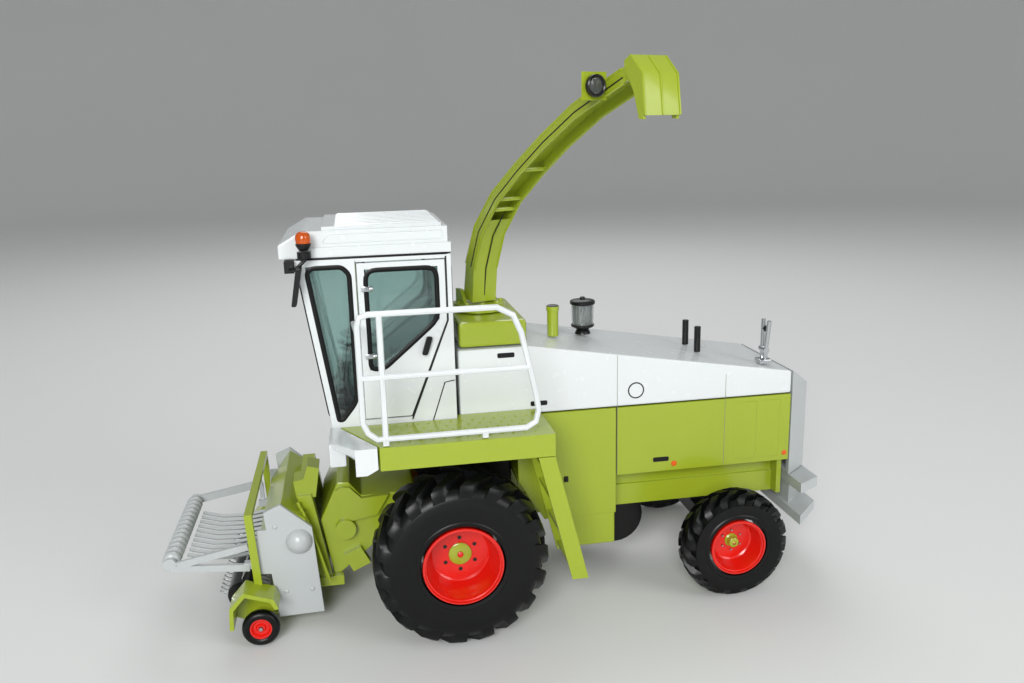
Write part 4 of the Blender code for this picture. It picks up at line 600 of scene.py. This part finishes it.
class HARVESTER_OT_gauge_wheels(bpy.types.Operator):
    """Makes the small header wheels with red centres and bright pins"""
    bl_idname = "harvester.gauge_wheels"
    bl_label = "Gauge wheels"

    def execute(self, context):
        for word, side in (("left", 1), ("right", -1)):
            body = f"gauge_wheel_{word}"
            centre = Vector((side * GAUGE_X, GAUGE_Y, GAUGE_Z))
            axis = (side, 0, 0)
            tyre = [(3.1, 0.6), (3.15, 1.3), (3.5, 1.6), (4.2, 1.68), (4.9, 1.4), (5.3, 0.8), (5.38, 0.2),
                    (5.38, -0.2), (5.3, -0.8), (4.9, -1.4), (4.2, -1.68), (3.5, -1.6), (3.15, -1.3),
                    (3.1, -0.6)]
            piece(f"gauge_tyre_{word}", lathe(tyre, centre, axis, 40), "tyre_pvc", body,
                  stands_for=[f"gauge_wheel_{word}"])
            disc = [(0, 0.9), (1.1, 0.9), (1.3, 0.6), (1.5, 0.35), (2.2, 0.35), (2.4, 0.9), (2.7, 1.25),
                    (3.1, 1.25),
                    (3.15, 0.8), (3.15, -0.6), (0, -0.6)]
            piece(f"gauge_disc_{word}", lathe(disc, centre, axis, 32), "red_abs", body)
            pin = [(0, 1.6), (0.5, 1.5), (0.75, 1.1), (0.75, 0.5), (0, 0.5)]
            piece(f"gauge_pin_{word}", lathe(pin, centre, axis, 16), "bright_zinc", body)
        return {"FINISHED"}


# ---- cab -------------------------------------------------------------------------
DOOR_PANE = [(-22.0, 77.0), (-18.0, 77.0), (-1.4, 90.8), (-1.4, 106.2), (-22.0, 106.2)]
QUARTER = [(-31.77, 62.4), (-30.57, 62.4), (-26.0, 68.0), (-26.0, 105.4), (-28.0, 107.6), (-38.12, 107.6)]


def screen_y(z):
    """Y of the windscreen's outer face at height z."""
    return -33.6 - 7.0 * (z - 59.8) / 49.8


class HARVESTER_OT_cab(bpy.types.Operator):
    """Fits the window rubbers, door gap, hinges, handle and roof ribs"""
    bl_idname = "harvester.cab"
    bl_label = "Cab"

    def execute(self, context):
        values = context.scene.harvester_cab
        thick = values.seal / 2

        def loop(x, outline, radius, soft, flat=1.0):
            mid_y = sum(y for y, z in outline) / len(outline)
            mid_z = sum(z for y, z in outline) / len(outline)
            inner = [(x, mid_y + (y - mid_y) * 0.97, mid_z + (z - mid_z) * 0.985) for y, z in outline]
            return tube(softened(inner, soft), radius, 8, True, flat)

        for word, side in (("left", 1), ("right", -1)):
            quarter = loop(side * (CAB_X - 0.1), QUARTER, thick, 2.6, 0.42)
            piece(f"quarter_seal_{word}", quarter, "seal_rubber", "machine")
        piece("door_seal", loop(CAB_X - 0.1, DOOR_PANE, thick, 3.2, 0.42), "seal_rubber", "cab_door")
        piece("side_seal", loop(-CAB_X + 0.1, DOOR_PANE, thick, 3.2, 0.42), "seal_rubber", "machine")
        rear = [(CAB_X - 0.12, y, z) for y, z in ((1.0, 109.0), (1.0, 90.4), (-10.6, 61.4))]
        piece("door_gap", tube(rear, 0.3, 8, flat=0.8), "black_line_and_painted_shade", "machine")
        front = [(CAB_X - 0.05, y, z) for y, z in ((-24.4, 61.6), (-24.4, 108.9))]
        piece("door_front_gap", tube(front, 0.12, 6), "seam_shade", "machine")
        half = 20.3
        corners = [(-half, screen_y(63.5) + 0.1, 63.5), (half, screen_y(63.5) + 0.1, 63.5),
                   (half, screen_y(107.4) + 0.1, 107.4), (-half, screen_y(107.4) + 0.1, 107.4)]
        piece("screen_seal", tube(softened(corners, 2.4), thick * 0.9, 8, True), "seal_rubber", "machine")
        corners = [(-18.5, 2.4, 84), (18.5, 2.4, 84), (18.5, 2.4, 106), (-18.5, 2.4, 106)]
        piece("rear_seal", tube(softened(corners, 2.4), thick * 0.9, 8, True), "seal_rubber", "machine")
        plan = ((-22.2, -40.0), (22.2, -40.0), (22.2, 2.2), (-22.2, 2.2))
        corners = [(x, y, ROOF_EDGE_Z) for x, y in plan]
        piece("roof_gasket", tube(softened(corners, 1.2), 0.45, 8, True), "seal_rubber", "machine")
        post = [(-4.8, 59.9), (-0.7, 71.9), (2.2, 72.4)]
        piece("post_seam", tube([(CAB_X + 0.02, y, z) for y, z in post], 0.18, 6), "black_line_and_painted_shade", "machine")
        for n, z in enumerate((81.2, 100.7)):
            plate = block((CAB_X - 0.1, -23.0, z - 0.75), (CAB_X + 0.55, -21.0, z + 0.75), 0.15)
            cap = lathe([(0, 0.75), (0.4, 0.7), (0.75, 0.4), (0.8, -0.4), (0, -0.4)],
                        (CAB_X + 0.3, -20.5, z), LEFTWARD, 18)
            piece(f"door_hinge_{n}", merged(plate, cap), "bright_zinc", "cab_door")
        grip = softened([(0, -7.1, 80.8), (0, -5.4, 80.6), (0, -3.7, 86.0), (0, -5.3, 86.3)], 0.7)
        grip = prism([(p.y, p.z) for p in grip], "X", CAB_X + 0.1, CAB_X + 1.3)
        piece("door_handle", grip, "black_abs", "cab_door")
        rib = prism([(-30.6, 117.6), (-28.8, 118.75), (-0.6, 118.75), (0.6, 117.6)],
                    "X", -18.4, -17.0, 0.12)
        pitch = 35.2 / (values.roof_ribs - 1)
        repeated("roof_ribs", rib, "white_enamel", "machine", values.roof_ribs, step=(pitch, 0, 0))
        strip = []
        for side in (1, -1):
            x = side * 21.6
            outline = [(x, -33, 114.0), (x, 0.5, 114.0), (x, 0.5, 116.4), (x, -31.5, 116.4)]
            strip.append(tube(softened(outline, 0.8), 0.22, 6, True))
        piece("roof_panel_lines", merged(*strip), "white_enamel", "machine")
        return {"FINISHED"}


class HARVESTER_OT_cab_inside(bpy.types.Operator):
    """Adds the steering wheel, dashboard, seat flutes and lever console"""
    bl_idname = "harvester.cab_inside"
    bl_label = "Cab inside"

    def execute(self, context):
        flute = tube([(-5.2, -14.2, 73.2), (0, -14.4, 73.35), (5.2, -14.2, 73.2)], 0.45, 8)
        repeated("seat_flutes", flute, "black_abs", "machine", 5, step=(0, 2.5, 0))
        flute = tube([(-5.2, -3.2, 74.5), (0, -3.4, 74.5), (5.2, -3.2, 74.5)], 0.45, 8)
        repeated("back_flutes", flute, "black_abs", "machine", 5, step=(0, 0.42, 3.2))
        tilt = Matrix.Rotation(radians(-24), 4, "X")
        hub = Matrix.Translation((0, -25.2, 80.0)) @ tilt

        def on_wheel(radius, angle, rise):
            return hub @ Vector((radius * cos(angle), radius * sin(angle), rise))

        grip = tube([on_wheel(4.3, pi * k / 16, 0) for k in range(32)], 0.45, 10, True)
        spokes = [tube([on_wheel(0.6, angle, -0.4), on_wheel(4.3, angle, 0)], 0.35, 8)
                  for angle in (pi / 2, pi * 7 / 6, pi * 11 / 6)]
        boss = lathe([(0, 0.2), (1.0, 0), (1.2, -0.5), (0.8, -1.0), (0, -1.0)],
                     hub.translation, (0, -0.4, 0.9), 20)
        post = tube([hub @ Vector((0, 0, -0.8)), hub @ Vector((0, -0.6, -5.5))], 0.8, 12)
        dash = block((-5.0, -30.2, 61.8), (5.0, -27.2, 76.0), 0.8)
        piece("steering_wheel", merged(grip, *spokes, boss, post), "black_abs", "machine")
        piece("dashboard", dash, "black_abs", "machine")
        box_side = block((7.6, -16, 61.6), (12.2, -4, 70.2), 0.6)
        lever = tube([(9.8, -13.2, 70), (9.9, -14.0, 73), (9.9, -14.6, 75)], 0.4, 8)
        piece("side_console", merged(box_side, lever), "black_abs", "machine")
        knob = lathe([(0, 1.2), (0.8, 0.9), (1.1, 0), (0.8, -0.9), (0, -1.2)],
                     (9.9, -14.8, 75.6), UPWARD, 14)
        piece("lever_knob", knob, "red_abs", "machine")
        return {"FINISHED"}


# ---- body ------------------------------------------------------------------------
def line(y0, z0, y1, z1, width=0.3):
    """A dark seam on the left flank from one (y, z) to another."""
    run = Vector((0, y1 - y0, z1 - z0))
    across = Vector((0, -run.z, run.y)).normalized() * width / 2
    start, end = Vector((0, y0, z0)), Vector((0, y1, z1))
    corners = [start - across, end - across, end + across, start + across]
    return prism([(c.y, c.z) for c in corners], "X", BODY_X - 0.3, BODY_X + 0.03)


def both_sides(bm):
    """The bmesh with its mirror image on the other flank."""
    other = bm.copy()
    for vert in other.verts:
        vert.co.x = -vert.co.x
    bmesh.ops.reverse_faces(other, faces=other.faces)
    return merged(bm, other)


class HARVESTER_OT_flanks(bpy.types.Operator):
    """Draws the panel seams, pleats, slot handles, markers and blank sign on the body"""
    bl_idname = "harvester.flanks"
    bl_label = "Flanks"

    def execute(self, context):
        seams = [line(88.1, 37.0, 88.1, 67.0, 0.16), line(52.6, 37.0, 52.6, 75.6, 0.16),
                 line(5.0, 73.4, 19.0, 73.4, 0.16)]
        piece("flank_seams", both_sides(merged(*seams)), "seam_shade", "machine")
        sunk_x = BODY_X - 0.3
        pleat = prism([(sunk_x, 91.4), (BODY_X + 0.02, 91.4), (BODY_X + 0.4, 98.6), (sunk_x, 99.1)],
                      "Z", 38.4, 57.4, 0.06)
        repeated("side_pleats", both_sides(pleat), "green_enamel", "machine", 2, step=(0, 8.0, 0),
                 smooth=False)
        edge = prism([(sunk_x, 107.4), (BODY_X + 0.02, 107.4), (BODY_X + 0.25, 110.2), (sunk_x, 110.2)],
                     "Z", 38.4, 57.4, 0.06)
        piece("rear_pleat", both_sides(edge), "green_enamel", "machine", smooth=False)
        slots = []
        for y, z in ((18.1, 78.0), (27.9, 62.3), (67.0, 40.6)):
            corners = [(0, y - 2.6, z - 0.75), (0, y + 2.6, z - 0.75), (0, y + 2.6, z + 0.75),
                       (0, y - 2.6, z + 0.75)]
            outline = [(p.y, p.z) for p in softened(corners, 0.5, 4)]
            slots.append(prism(outline, "X", sunk_x, BODY_X + 0.08))
        piece("slot_handles", both_sides(merged(*slots)), "black_abs", "machine")
        latch = block((BODY_X - 0.3, 35.4, 36.0), (BODY_X + 0.5, 36.8, 37.8), 0.2)
        piece("panel_latch", both_sides(latch), "black_abs", "machine")
        head = [(0, 0.35), (0.7, 0.3), (0.95, 0), (0.95, -0.3), (0, -0.3)]
        dots = [lathe(head, (BODY_X, y, z), LEFTWARD, 18)
                for y, z in ((71.4, 38.8), (109.0, 39.1))]
        piece("flank_markers", both_sides(merged(*dots)), "marker_orange", "machine")
        ring = lathe([(2.2, -0.2), (2.6, -0.2), (2.6, 0.10), (2.2, 0.10)], SIGN, LEFTWARD, 40)
        piece("sign_ring", both_sides(ring), "black_line_and_painted_shade", "machine")
        disc = lathe([(0, 0.06), (2.2, 0.06), (2.2, -0.2), (0, -0.2)], SIGN, LEFTWARD, 40)
        piece("sign_disc", both_sides(disc), "white_enamel", "machine")
        return {"FINISHED"}


class HARVESTER_OT_bonnet_top(bpy.types.Operator):
    """Makes the air cleaner, filler cap, pipe bores, beacon and the spout rest's ball"""
    bl_idname = "harvester.bonnet_top"
    bl_label = "Bonnet top"

    def execute(self, context):
        low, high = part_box("precleaner")
        base = low.z / MM
        x, y = CLEANER
        foot = [(0, 0), (2.6, 0), (2.3, 0.9), (1.9, 1.3), (2.4, 1.8), (3.5, 2.3), (3.8, 2.6),
                (3.8, 3.1), (0, 3.1)]
        piece("cleaner_foot", lathe(foot, (x, y, base), UPWARD, 36), "black_abs", "machine",
              stands_for=["precleaner"])
        bowl = [(3.3, 3.1), (3.5, 3.3), (3.75, 9.8), (3.35, 9.8), (3.1, 3.5), (3.1, 3.1)]
        piece("cleaner_bowl", lathe(bowl, (x, y, base), UPWARD, 40), "clear_styrene", "machine")
        core = [(0, 3.0), (0.9, 3.0), (0.9, 9.9), (0, 9.9)]
        piece("cleaner_core", lathe(core, (x, y, base), UPWARD, 20), "grey_enamel", "machine")
        cap = [(0, 9.8), (3.9, 9.8), (4.1, 10.0), (4.1, 10.8), (3.8, 11.1), (2.4, 11.4), (0.9, 11.5),
               (0.8, 12.1), (0.5, 12.3), (0, 12.35)]
        piece("cleaner_cap", lathe(cap, (x, y, base), UPWARD, 40), "black_abs", "machine")
        vane = block((x + 2.75, y - 0.12, base + 3.6), (x + 3.2, y + 0.12, base + 9.6), 0.04)
        repeated("cleaner_vanes", vane, "clear_styrene", "machine", 18, (x, y, base), turn=(0, 0, pi / 9))
        low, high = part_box("filler_neck")
        top = high.z / MM
        lid = [(0, 0.35), (1.6, 0.3), (1.95, 0.1), (1.95, -0.9), (1.82, -1.0), (0, -1.0)]
        piece("filler_cap", lathe(lid, (*FILLER, top), UPWARD, 28), "black_abs", "machine")
        for word in ("left", "right"):
            low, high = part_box(f"breather_{word}")
            mid = INTO_FRAME.inverted() @ ((low + high) / 2)
            top = high.z / MM
            # the bore is a dark disc on the breather's top: painted shade inside the open pipe
            bore = lathe([(0, 0.02), (0.7, 0.02), (0.7, -0.3), (0, -0.3)],
                         (mid.x, mid.y, top), UPWARD, 16)
            piece(f"breather_bore_{word}", bore, "black_line_and_painted_shade", "machine")
        low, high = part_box("beacon")
        mid = INTO_FRAME.inverted() @ ((low + high) / 2)
        base, top = low.z / MM, high.z / MM
        foot = [(0, 0), (1.2, 0), (1.9, 1.0), (2.1, 1.5), (2.1, 2.0), (0, 2.0)]
        piece("beacon_foot", lathe(foot, (mid.x, mid.y, base), UPWARD, 28), "black_abs", "machine",
              stands_for=["beacon"])
        tall = top - base
        dome = [(0, 2.0), (1.9, 2.0), (2.05, 2.5), (2.1, tall * 0.62), (1.95, tall * 0.8),
                (1.5, tall * 0.93),
                (0.8, tall * 0.99), (0, tall)]
        piece("beacon_dome", lathe(dome, (mid.x, mid.y, base), UPWARD, 32), "amber_styrene", "machine")
        ball = lathe([(0, 1.1), (0.7, 0.85), (1.1, 0), (0.7, -0.85), (0, -1.1)],
                     (13.5, 103.9, 79.4), UPWARD, 18)
        piece("rest_ball", ball, "black_abs", "machine")
        return {"FINISHED"}


class HARVESTER_OT_deck(bpy.types.Operator):
    """Puts the grip studs on the side platform's deck"""
    bl_idname = "harvester.deck"
    bl_label = "Deck"

    def execute(self, context):
        stud = lathe([(0, 0.28), (0.2, 0.24), (0.34, 0.08), (0.34, -0.1), (0, -0.1)], (25.5, -19.0, 60.8),
                     (0, 0, 1), 8)
        rows = []
        for n in range(5):
            bm = stud.copy()
            bmesh.ops.translate(bm, verts=bm.verts, vec=(n * 3.6, (n % 2) * 1.6, 0))
            rows.append(bm)
        stud.free()
        repeated("deck_studs", merged(*rows), "green_enamel", "machine", 14, step=(0, 3.2, 0))
        return {"FINISHED"}


# ---- spout -----------------------------------------------------------------------
UNDER = [(18.1, 102.0), (23.3, 112.8), (33.3, 122.8), (45.9, 131.2), (59.1, 138.8), (73.3, 145.8),
         (92.4, 152.7)]
UPPER = [(13.08, 103.6), (19.6, 115.5), (30.81, 125.86), (44.11, 134.09), (57.6, 141.62), (72.08, 148.76),
         (91.4, 155.7)]


class HARVESTER_OT_spout(bpy.types.Operator):
    """Adds the chute's grooves, lips and lugs, the lamp's lens, the flap's ribs and the turret's bolts"""
    bl_idname = "harvester.spout"
    bl_label = "Spout"

    def execute(self, context):
        grooves = []
        lips = []
        for side in (1, -1):
            x = side * 4.1
            mids = [(a[0] * 0.62 + b[0] * 0.38, a[1] * 0.62 + b[1] * 0.38) for a, b in zip(UNDER, UPPER)]
            # each groove is a dark wire along the chute's side: painted shade in the groove
            grooves.append(tube([(x, y, z) for y, z in mids], 0.2, 6))
            lips.append(tube([(x - side * 0.1, y, z) for y, z in UPPER], 0.38, 8))
            lips.append(tube([(x - side * 0.2, y, z) for y, z in UNDER], 0.34, 8))
        piece("chute_grooves", merged(*grooves), "black_line_and_painted_shade", "spout_arm", AT_SPOUT)
        piece("chute_lips", merged(*lips), "green_enamel", "spout_arm", AT_SPOUT)
        lugs = [block((-3.5, y - 0.5, z - 0.3), (3.5, y + 0.5, z + 0.8), 0.15)
                for y, z in ((30.2, 120.6), (34.0, 123.8), (47.0, 132.4))]
        piece("chute_lugs", merged(*lugs), "green_enamel", "spout_arm", AT_SPOUT)
        seam = tube([(0, 16.7, 93.5), (0, 18.3, 102.0), (0, 23.5, 112.6), (0, 30.0, 119.4)], 0.18, 6)
        piece("chute_seam", seam, "black_line_and_painted_shade", "spout_arm", AT_SPOUT)
        fold = [(FLAP_Y + back, FLAP_Z + rise) for back, rise in ((1.2, 1.5), (5.3, -2.5), (6.4, -11.2))]
        rims = [tube([(x, y, z) for y, z in fold], 0.22, 8) for x in (-4.9, 0, 4.9)]
        piece("flap_ribs", merged(*rims), "green_enamel", "spout_flap", AT_SPOUT)
        x, y, z = 7.6, SPOUT_Y + 73.3, 152.4
        bezel = lathe([(1.9, -0.6), (2.5, -0.6), (2.5, 0.35), (2.2, 0.6), (1.9, 0.35)],
                      (x, y, z), (0, 1, 0), 32)
        piece("lamp_bezel", bezel, "black_abs", "spout_arm", AT_SPOUT)
        lens = lathe([(0, 0.35), (1.0, 0.25), (1.9, 0), (1.9, -0.2), (0, -0.2)], (x, y, z), (0, 1, 0), 28)
        piece("lamp_lens", lens, "clear_styrene", "spout_arm", AT_SPOUT)
        collar = lathe([(7.0, -0.6), (8.3, -0.6), (8.3, 0.2), (7.9, 0.5), (7.0, 0.5)], (0, SPOUT_Y, 89.4),
                       (0, 0, 1), 48)
        piece("turret_collar", collar, "green_enamel", "spout_base")
        nut = lathe([(0, 0.7), (0.5, 0.7), (0.62, 0.5), (0.62, -0.2), (0, -0.2)],
                    (6.6, SPOUT_Y, TURRET_Z), UPWARD, 6)
        repeated("turret_bolts", nut, "green_enamel", "spout_base", 8, (0, SPOUT_Y, TURRET_Z),
                 turn=(0, 0, pi / 4))
        return {"FINISHED"}


# ---- header ----------------------------------------------------------------------
class HARVESTER_OT_header(bpy.types.Operator):
    """Adds the roller's beads, reel tines, rivets, domes and pipes"""
    bl_idname = "harvester.header"
    bl_label = "Header"

    def execute(self, context):
        beads = [(0, -22.7), (1.2, -22.7), (1.2, -22.0)]
        for k in range(14):
            start = -22.0 + k * 44.0 / 14
            beads += [(1.95, start + 0.2), (2.45, start + 0.7), (2.55, start + 1.4), (2.55, start + 1.9),
                      (2.45, start + 2.5), (1.95, start + 3.0)]
        beads += [(1.2, 22.0), (1.2, 22.7), (0, 22.7)]
        piece("roller_beads", lathe(beads, (0, *ROLLER), LEFTWARD, 36), "grey_enamel", "press_roller",
              stands_for=["press_roller"])
        tine = tube([(-20.0, -63.5, 13.6), (-20.0, -63.2, 15.6), (-20.0, -62.2, 17.2)], 0.3, 6)
        quarter = []
        for k in range(4):
            bm = tine.copy()
            bmesh.ops.rotate(bm, verts=bm.verts, cent=(0, *REEL),
                             matrix=Matrix.Rotation(k * pi / 2, 3, "X"))
            quarter.append(bm)
        tine.free()
        repeated("reel_tines", merged(*quarter), "bright_zinc", "pickup_reel", 17, step=(2.5, 0, 0))
        head = [(0, 0.5), (0.45, 0.42), (0.75, 0.1), (0.75, -0.2), (0, -0.2)]
        rivets = [lathe(head, (HEADER_X, y, z), LEFTWARD, 14)
                  for y, z in ((-52.1, 32.8), (-50.4, 12.1), (-43.0, 12.0))]
        piece("side_rivets", both_sides(merged(*rivets)), "grey_enamel", "header")
        dome = lathe([(0, 2.9), (1.2, 2.7), (2.4, 2.1), (3.3, 1.2), (3.8, 0.2), (3.8, -0.2), (0, -0.2)],
                     (HEADER_X, -45.6, 27.6), LEFTWARD, 40)
        piece("side_domes", both_sides(dome), "grey_enamel", "header")
        inner = [(19.6, -45.6, 37.5), (20.4, -43.0, 31.0), (20.4, -40.4, 20.5), (20.0, -38.6, 12.5)]
        outer = [(21.6, -44.6, 36.5), (22.2, -42.2, 30.0), (22.2, -39.6, 19.5), (21.8, -37.8, 12.5)]
        pipes = [tube(inner, 0.55, 10), tube(outer, 0.4, 10)]
        piece("header_pipes", merged(*pipes), "green_enamel", "header")
        return {"FINISHED"}


# ---- stage -----------------------------------------------------------------------
def lamp(name, kind, place, target, power, size):
    data = bpy.data.lights.new(name, kind)
    data.energy = power
    data.shape = "DISK"
    data.size = size
    obj = bpy.data.objects.new(name, data)
    obj.location = place
    obj.rotation_euler = (Vector(target) - Vector(place)).to_track_quat("-Z", "Y").to_euler()
    bpy.context.scene.collection.objects.link(obj)


class HARVESTER_OT_stage(bpy.types.Operator):
    """Sets the pale floor, the soft lights and the camera"""
    bl_idname = "harvester.stage"
    bl_label = "Stage"

    def execute(self, context):
        values = context.scene.harvester_stage
        flat, curve, floor_z = 1500, 1100, -0.2
        sweep = [(0, floor_z), (flat, floor_z)]
        for k in range(1, 13):
            angle = pi / 2 * k / 12
            sweep.append((flat + curve * sin(angle), floor_z + curve * (1 - cos(angle))))
        sweep += [(2600, 1500), (2640, 1500), (2640, -30), (0, -30)]
        placed("studio_sweep", lathe(sweep, (0, 0, 0), UPWARD, 96), "studio_card")
        lamp("key", "AREA", (0.85, -0.3, 0.46), (0, 0, 0.06), values.key_power, 0.45)
        lamp("fill", "AREA", (0.6, 0.6, 0.42), (0, 0, 0.06), values.fill_power, 0.5)
        lamp("back", "AREA", (-0.6, 0.1, 0.7), (0, 0, 0.06), values.fill_power, 0.6)
        world = bpy.data.worlds.new("room")
        world.use_nodes = True
        sky = world.node_tree.nodes["Background"]
        sky.inputs["Color"].default_value = (*values.backdrop, 1.0)
        sky.inputs["Strength"].default_value = 0.55
        context.scene.world = world
        data = bpy.data.cameras.new("camera")
        data.sensor_width = 36
        data.lens = 31.14
        data.clip_start = 0.01
        data.clip_end = 20
        camera = bpy.data.objects.new("camera", data)
        right = Vector((0.18046, 0.98328, -0.02411))
        up = Vector((-0.22394, 0.06494, 0.97244))
        ahead = Vector((-0.95775, 0.17008, -0.23191))
        turn = Matrix((right, up, -ahead)).transposed().to_4x4()
        camera.matrix_world = Matrix.Translation(INTO_FRAME @ Vector((271.5, -24.7, 143.1))) @ turn
        context.scene.collection.objects.link(camera)
        context.scene.camera = camera
        context.scene.view_settings.view_transform = "Standard"
        return {"FINISHED"}


class HARVESTER_PT_panel(bpy.types.Panel):
    """Lists the model's parts in the sidebar"""
    bl_label = "Forage harvester"
    bl_idname = "HARVESTER_PT_panel"
    bl_space_type = "VIEW_3D"
    bl_region_type = "UI"
    bl_category = "Harvester"

    def draw(self, context):
        layout = self.layout
        for group, settings in SETTINGS.items():
            for name in settings.__annotations__:
                layout.prop(getattr(context.scene, group), name)
        for operator in OPERATORS:
            layout.operator(operator.bl_idname)


SETTINGS = {
    "harvester_wheels": WheelSettings,
    "harvester_cab": CabSettings,
    "harvester_stage": StageSettings,
}
OPERATORS = (
    HARVESTER_OT_frame_finish,
    HARVESTER_OT_wheels,
    HARVESTER_OT_gauge_wheels,
    HARVESTER_OT_cab,
    HARVESTER_OT_cab_inside,
    HARVESTER_OT_flanks,
    HARVESTER_OT_bonnet_top,
    HARVESTER_OT_deck,
    HARVESTER_OT_spout,
    HARVESTER_OT_header,
    HARVESTER_OT_stage,
)
CLASSES = (*SETTINGS.values(), *OPERATORS, HARVESTER_PT_panel)


def register():
    for cls in CLASSES:
        bpy.utils.register_class(cls)
    for name, group in SETTINGS.items():
        setattr(bpy.types.Scene, name, PointerProperty(type=group))


def unregister():
    for name in SETTINGS:
        delattr(bpy.types.Scene, name)
    for cls in reversed(CLASSES):
        bpy.utils.unregister_class(cls)


def main():
    for obj in list(bpy.data.objects):
        if obj.type in ("CAMERA", "LIGHT") or obj.name == "Cube":
            bpy.data.objects.remove(obj)
    register()
    for operator in OPERATORS:
        group, name = operator.bl_idname.split(".")
        getattr(getattr(bpy.ops, group), name)()
    bpy.context.view_layer.update()


if __name__ == "__main__":
    main()
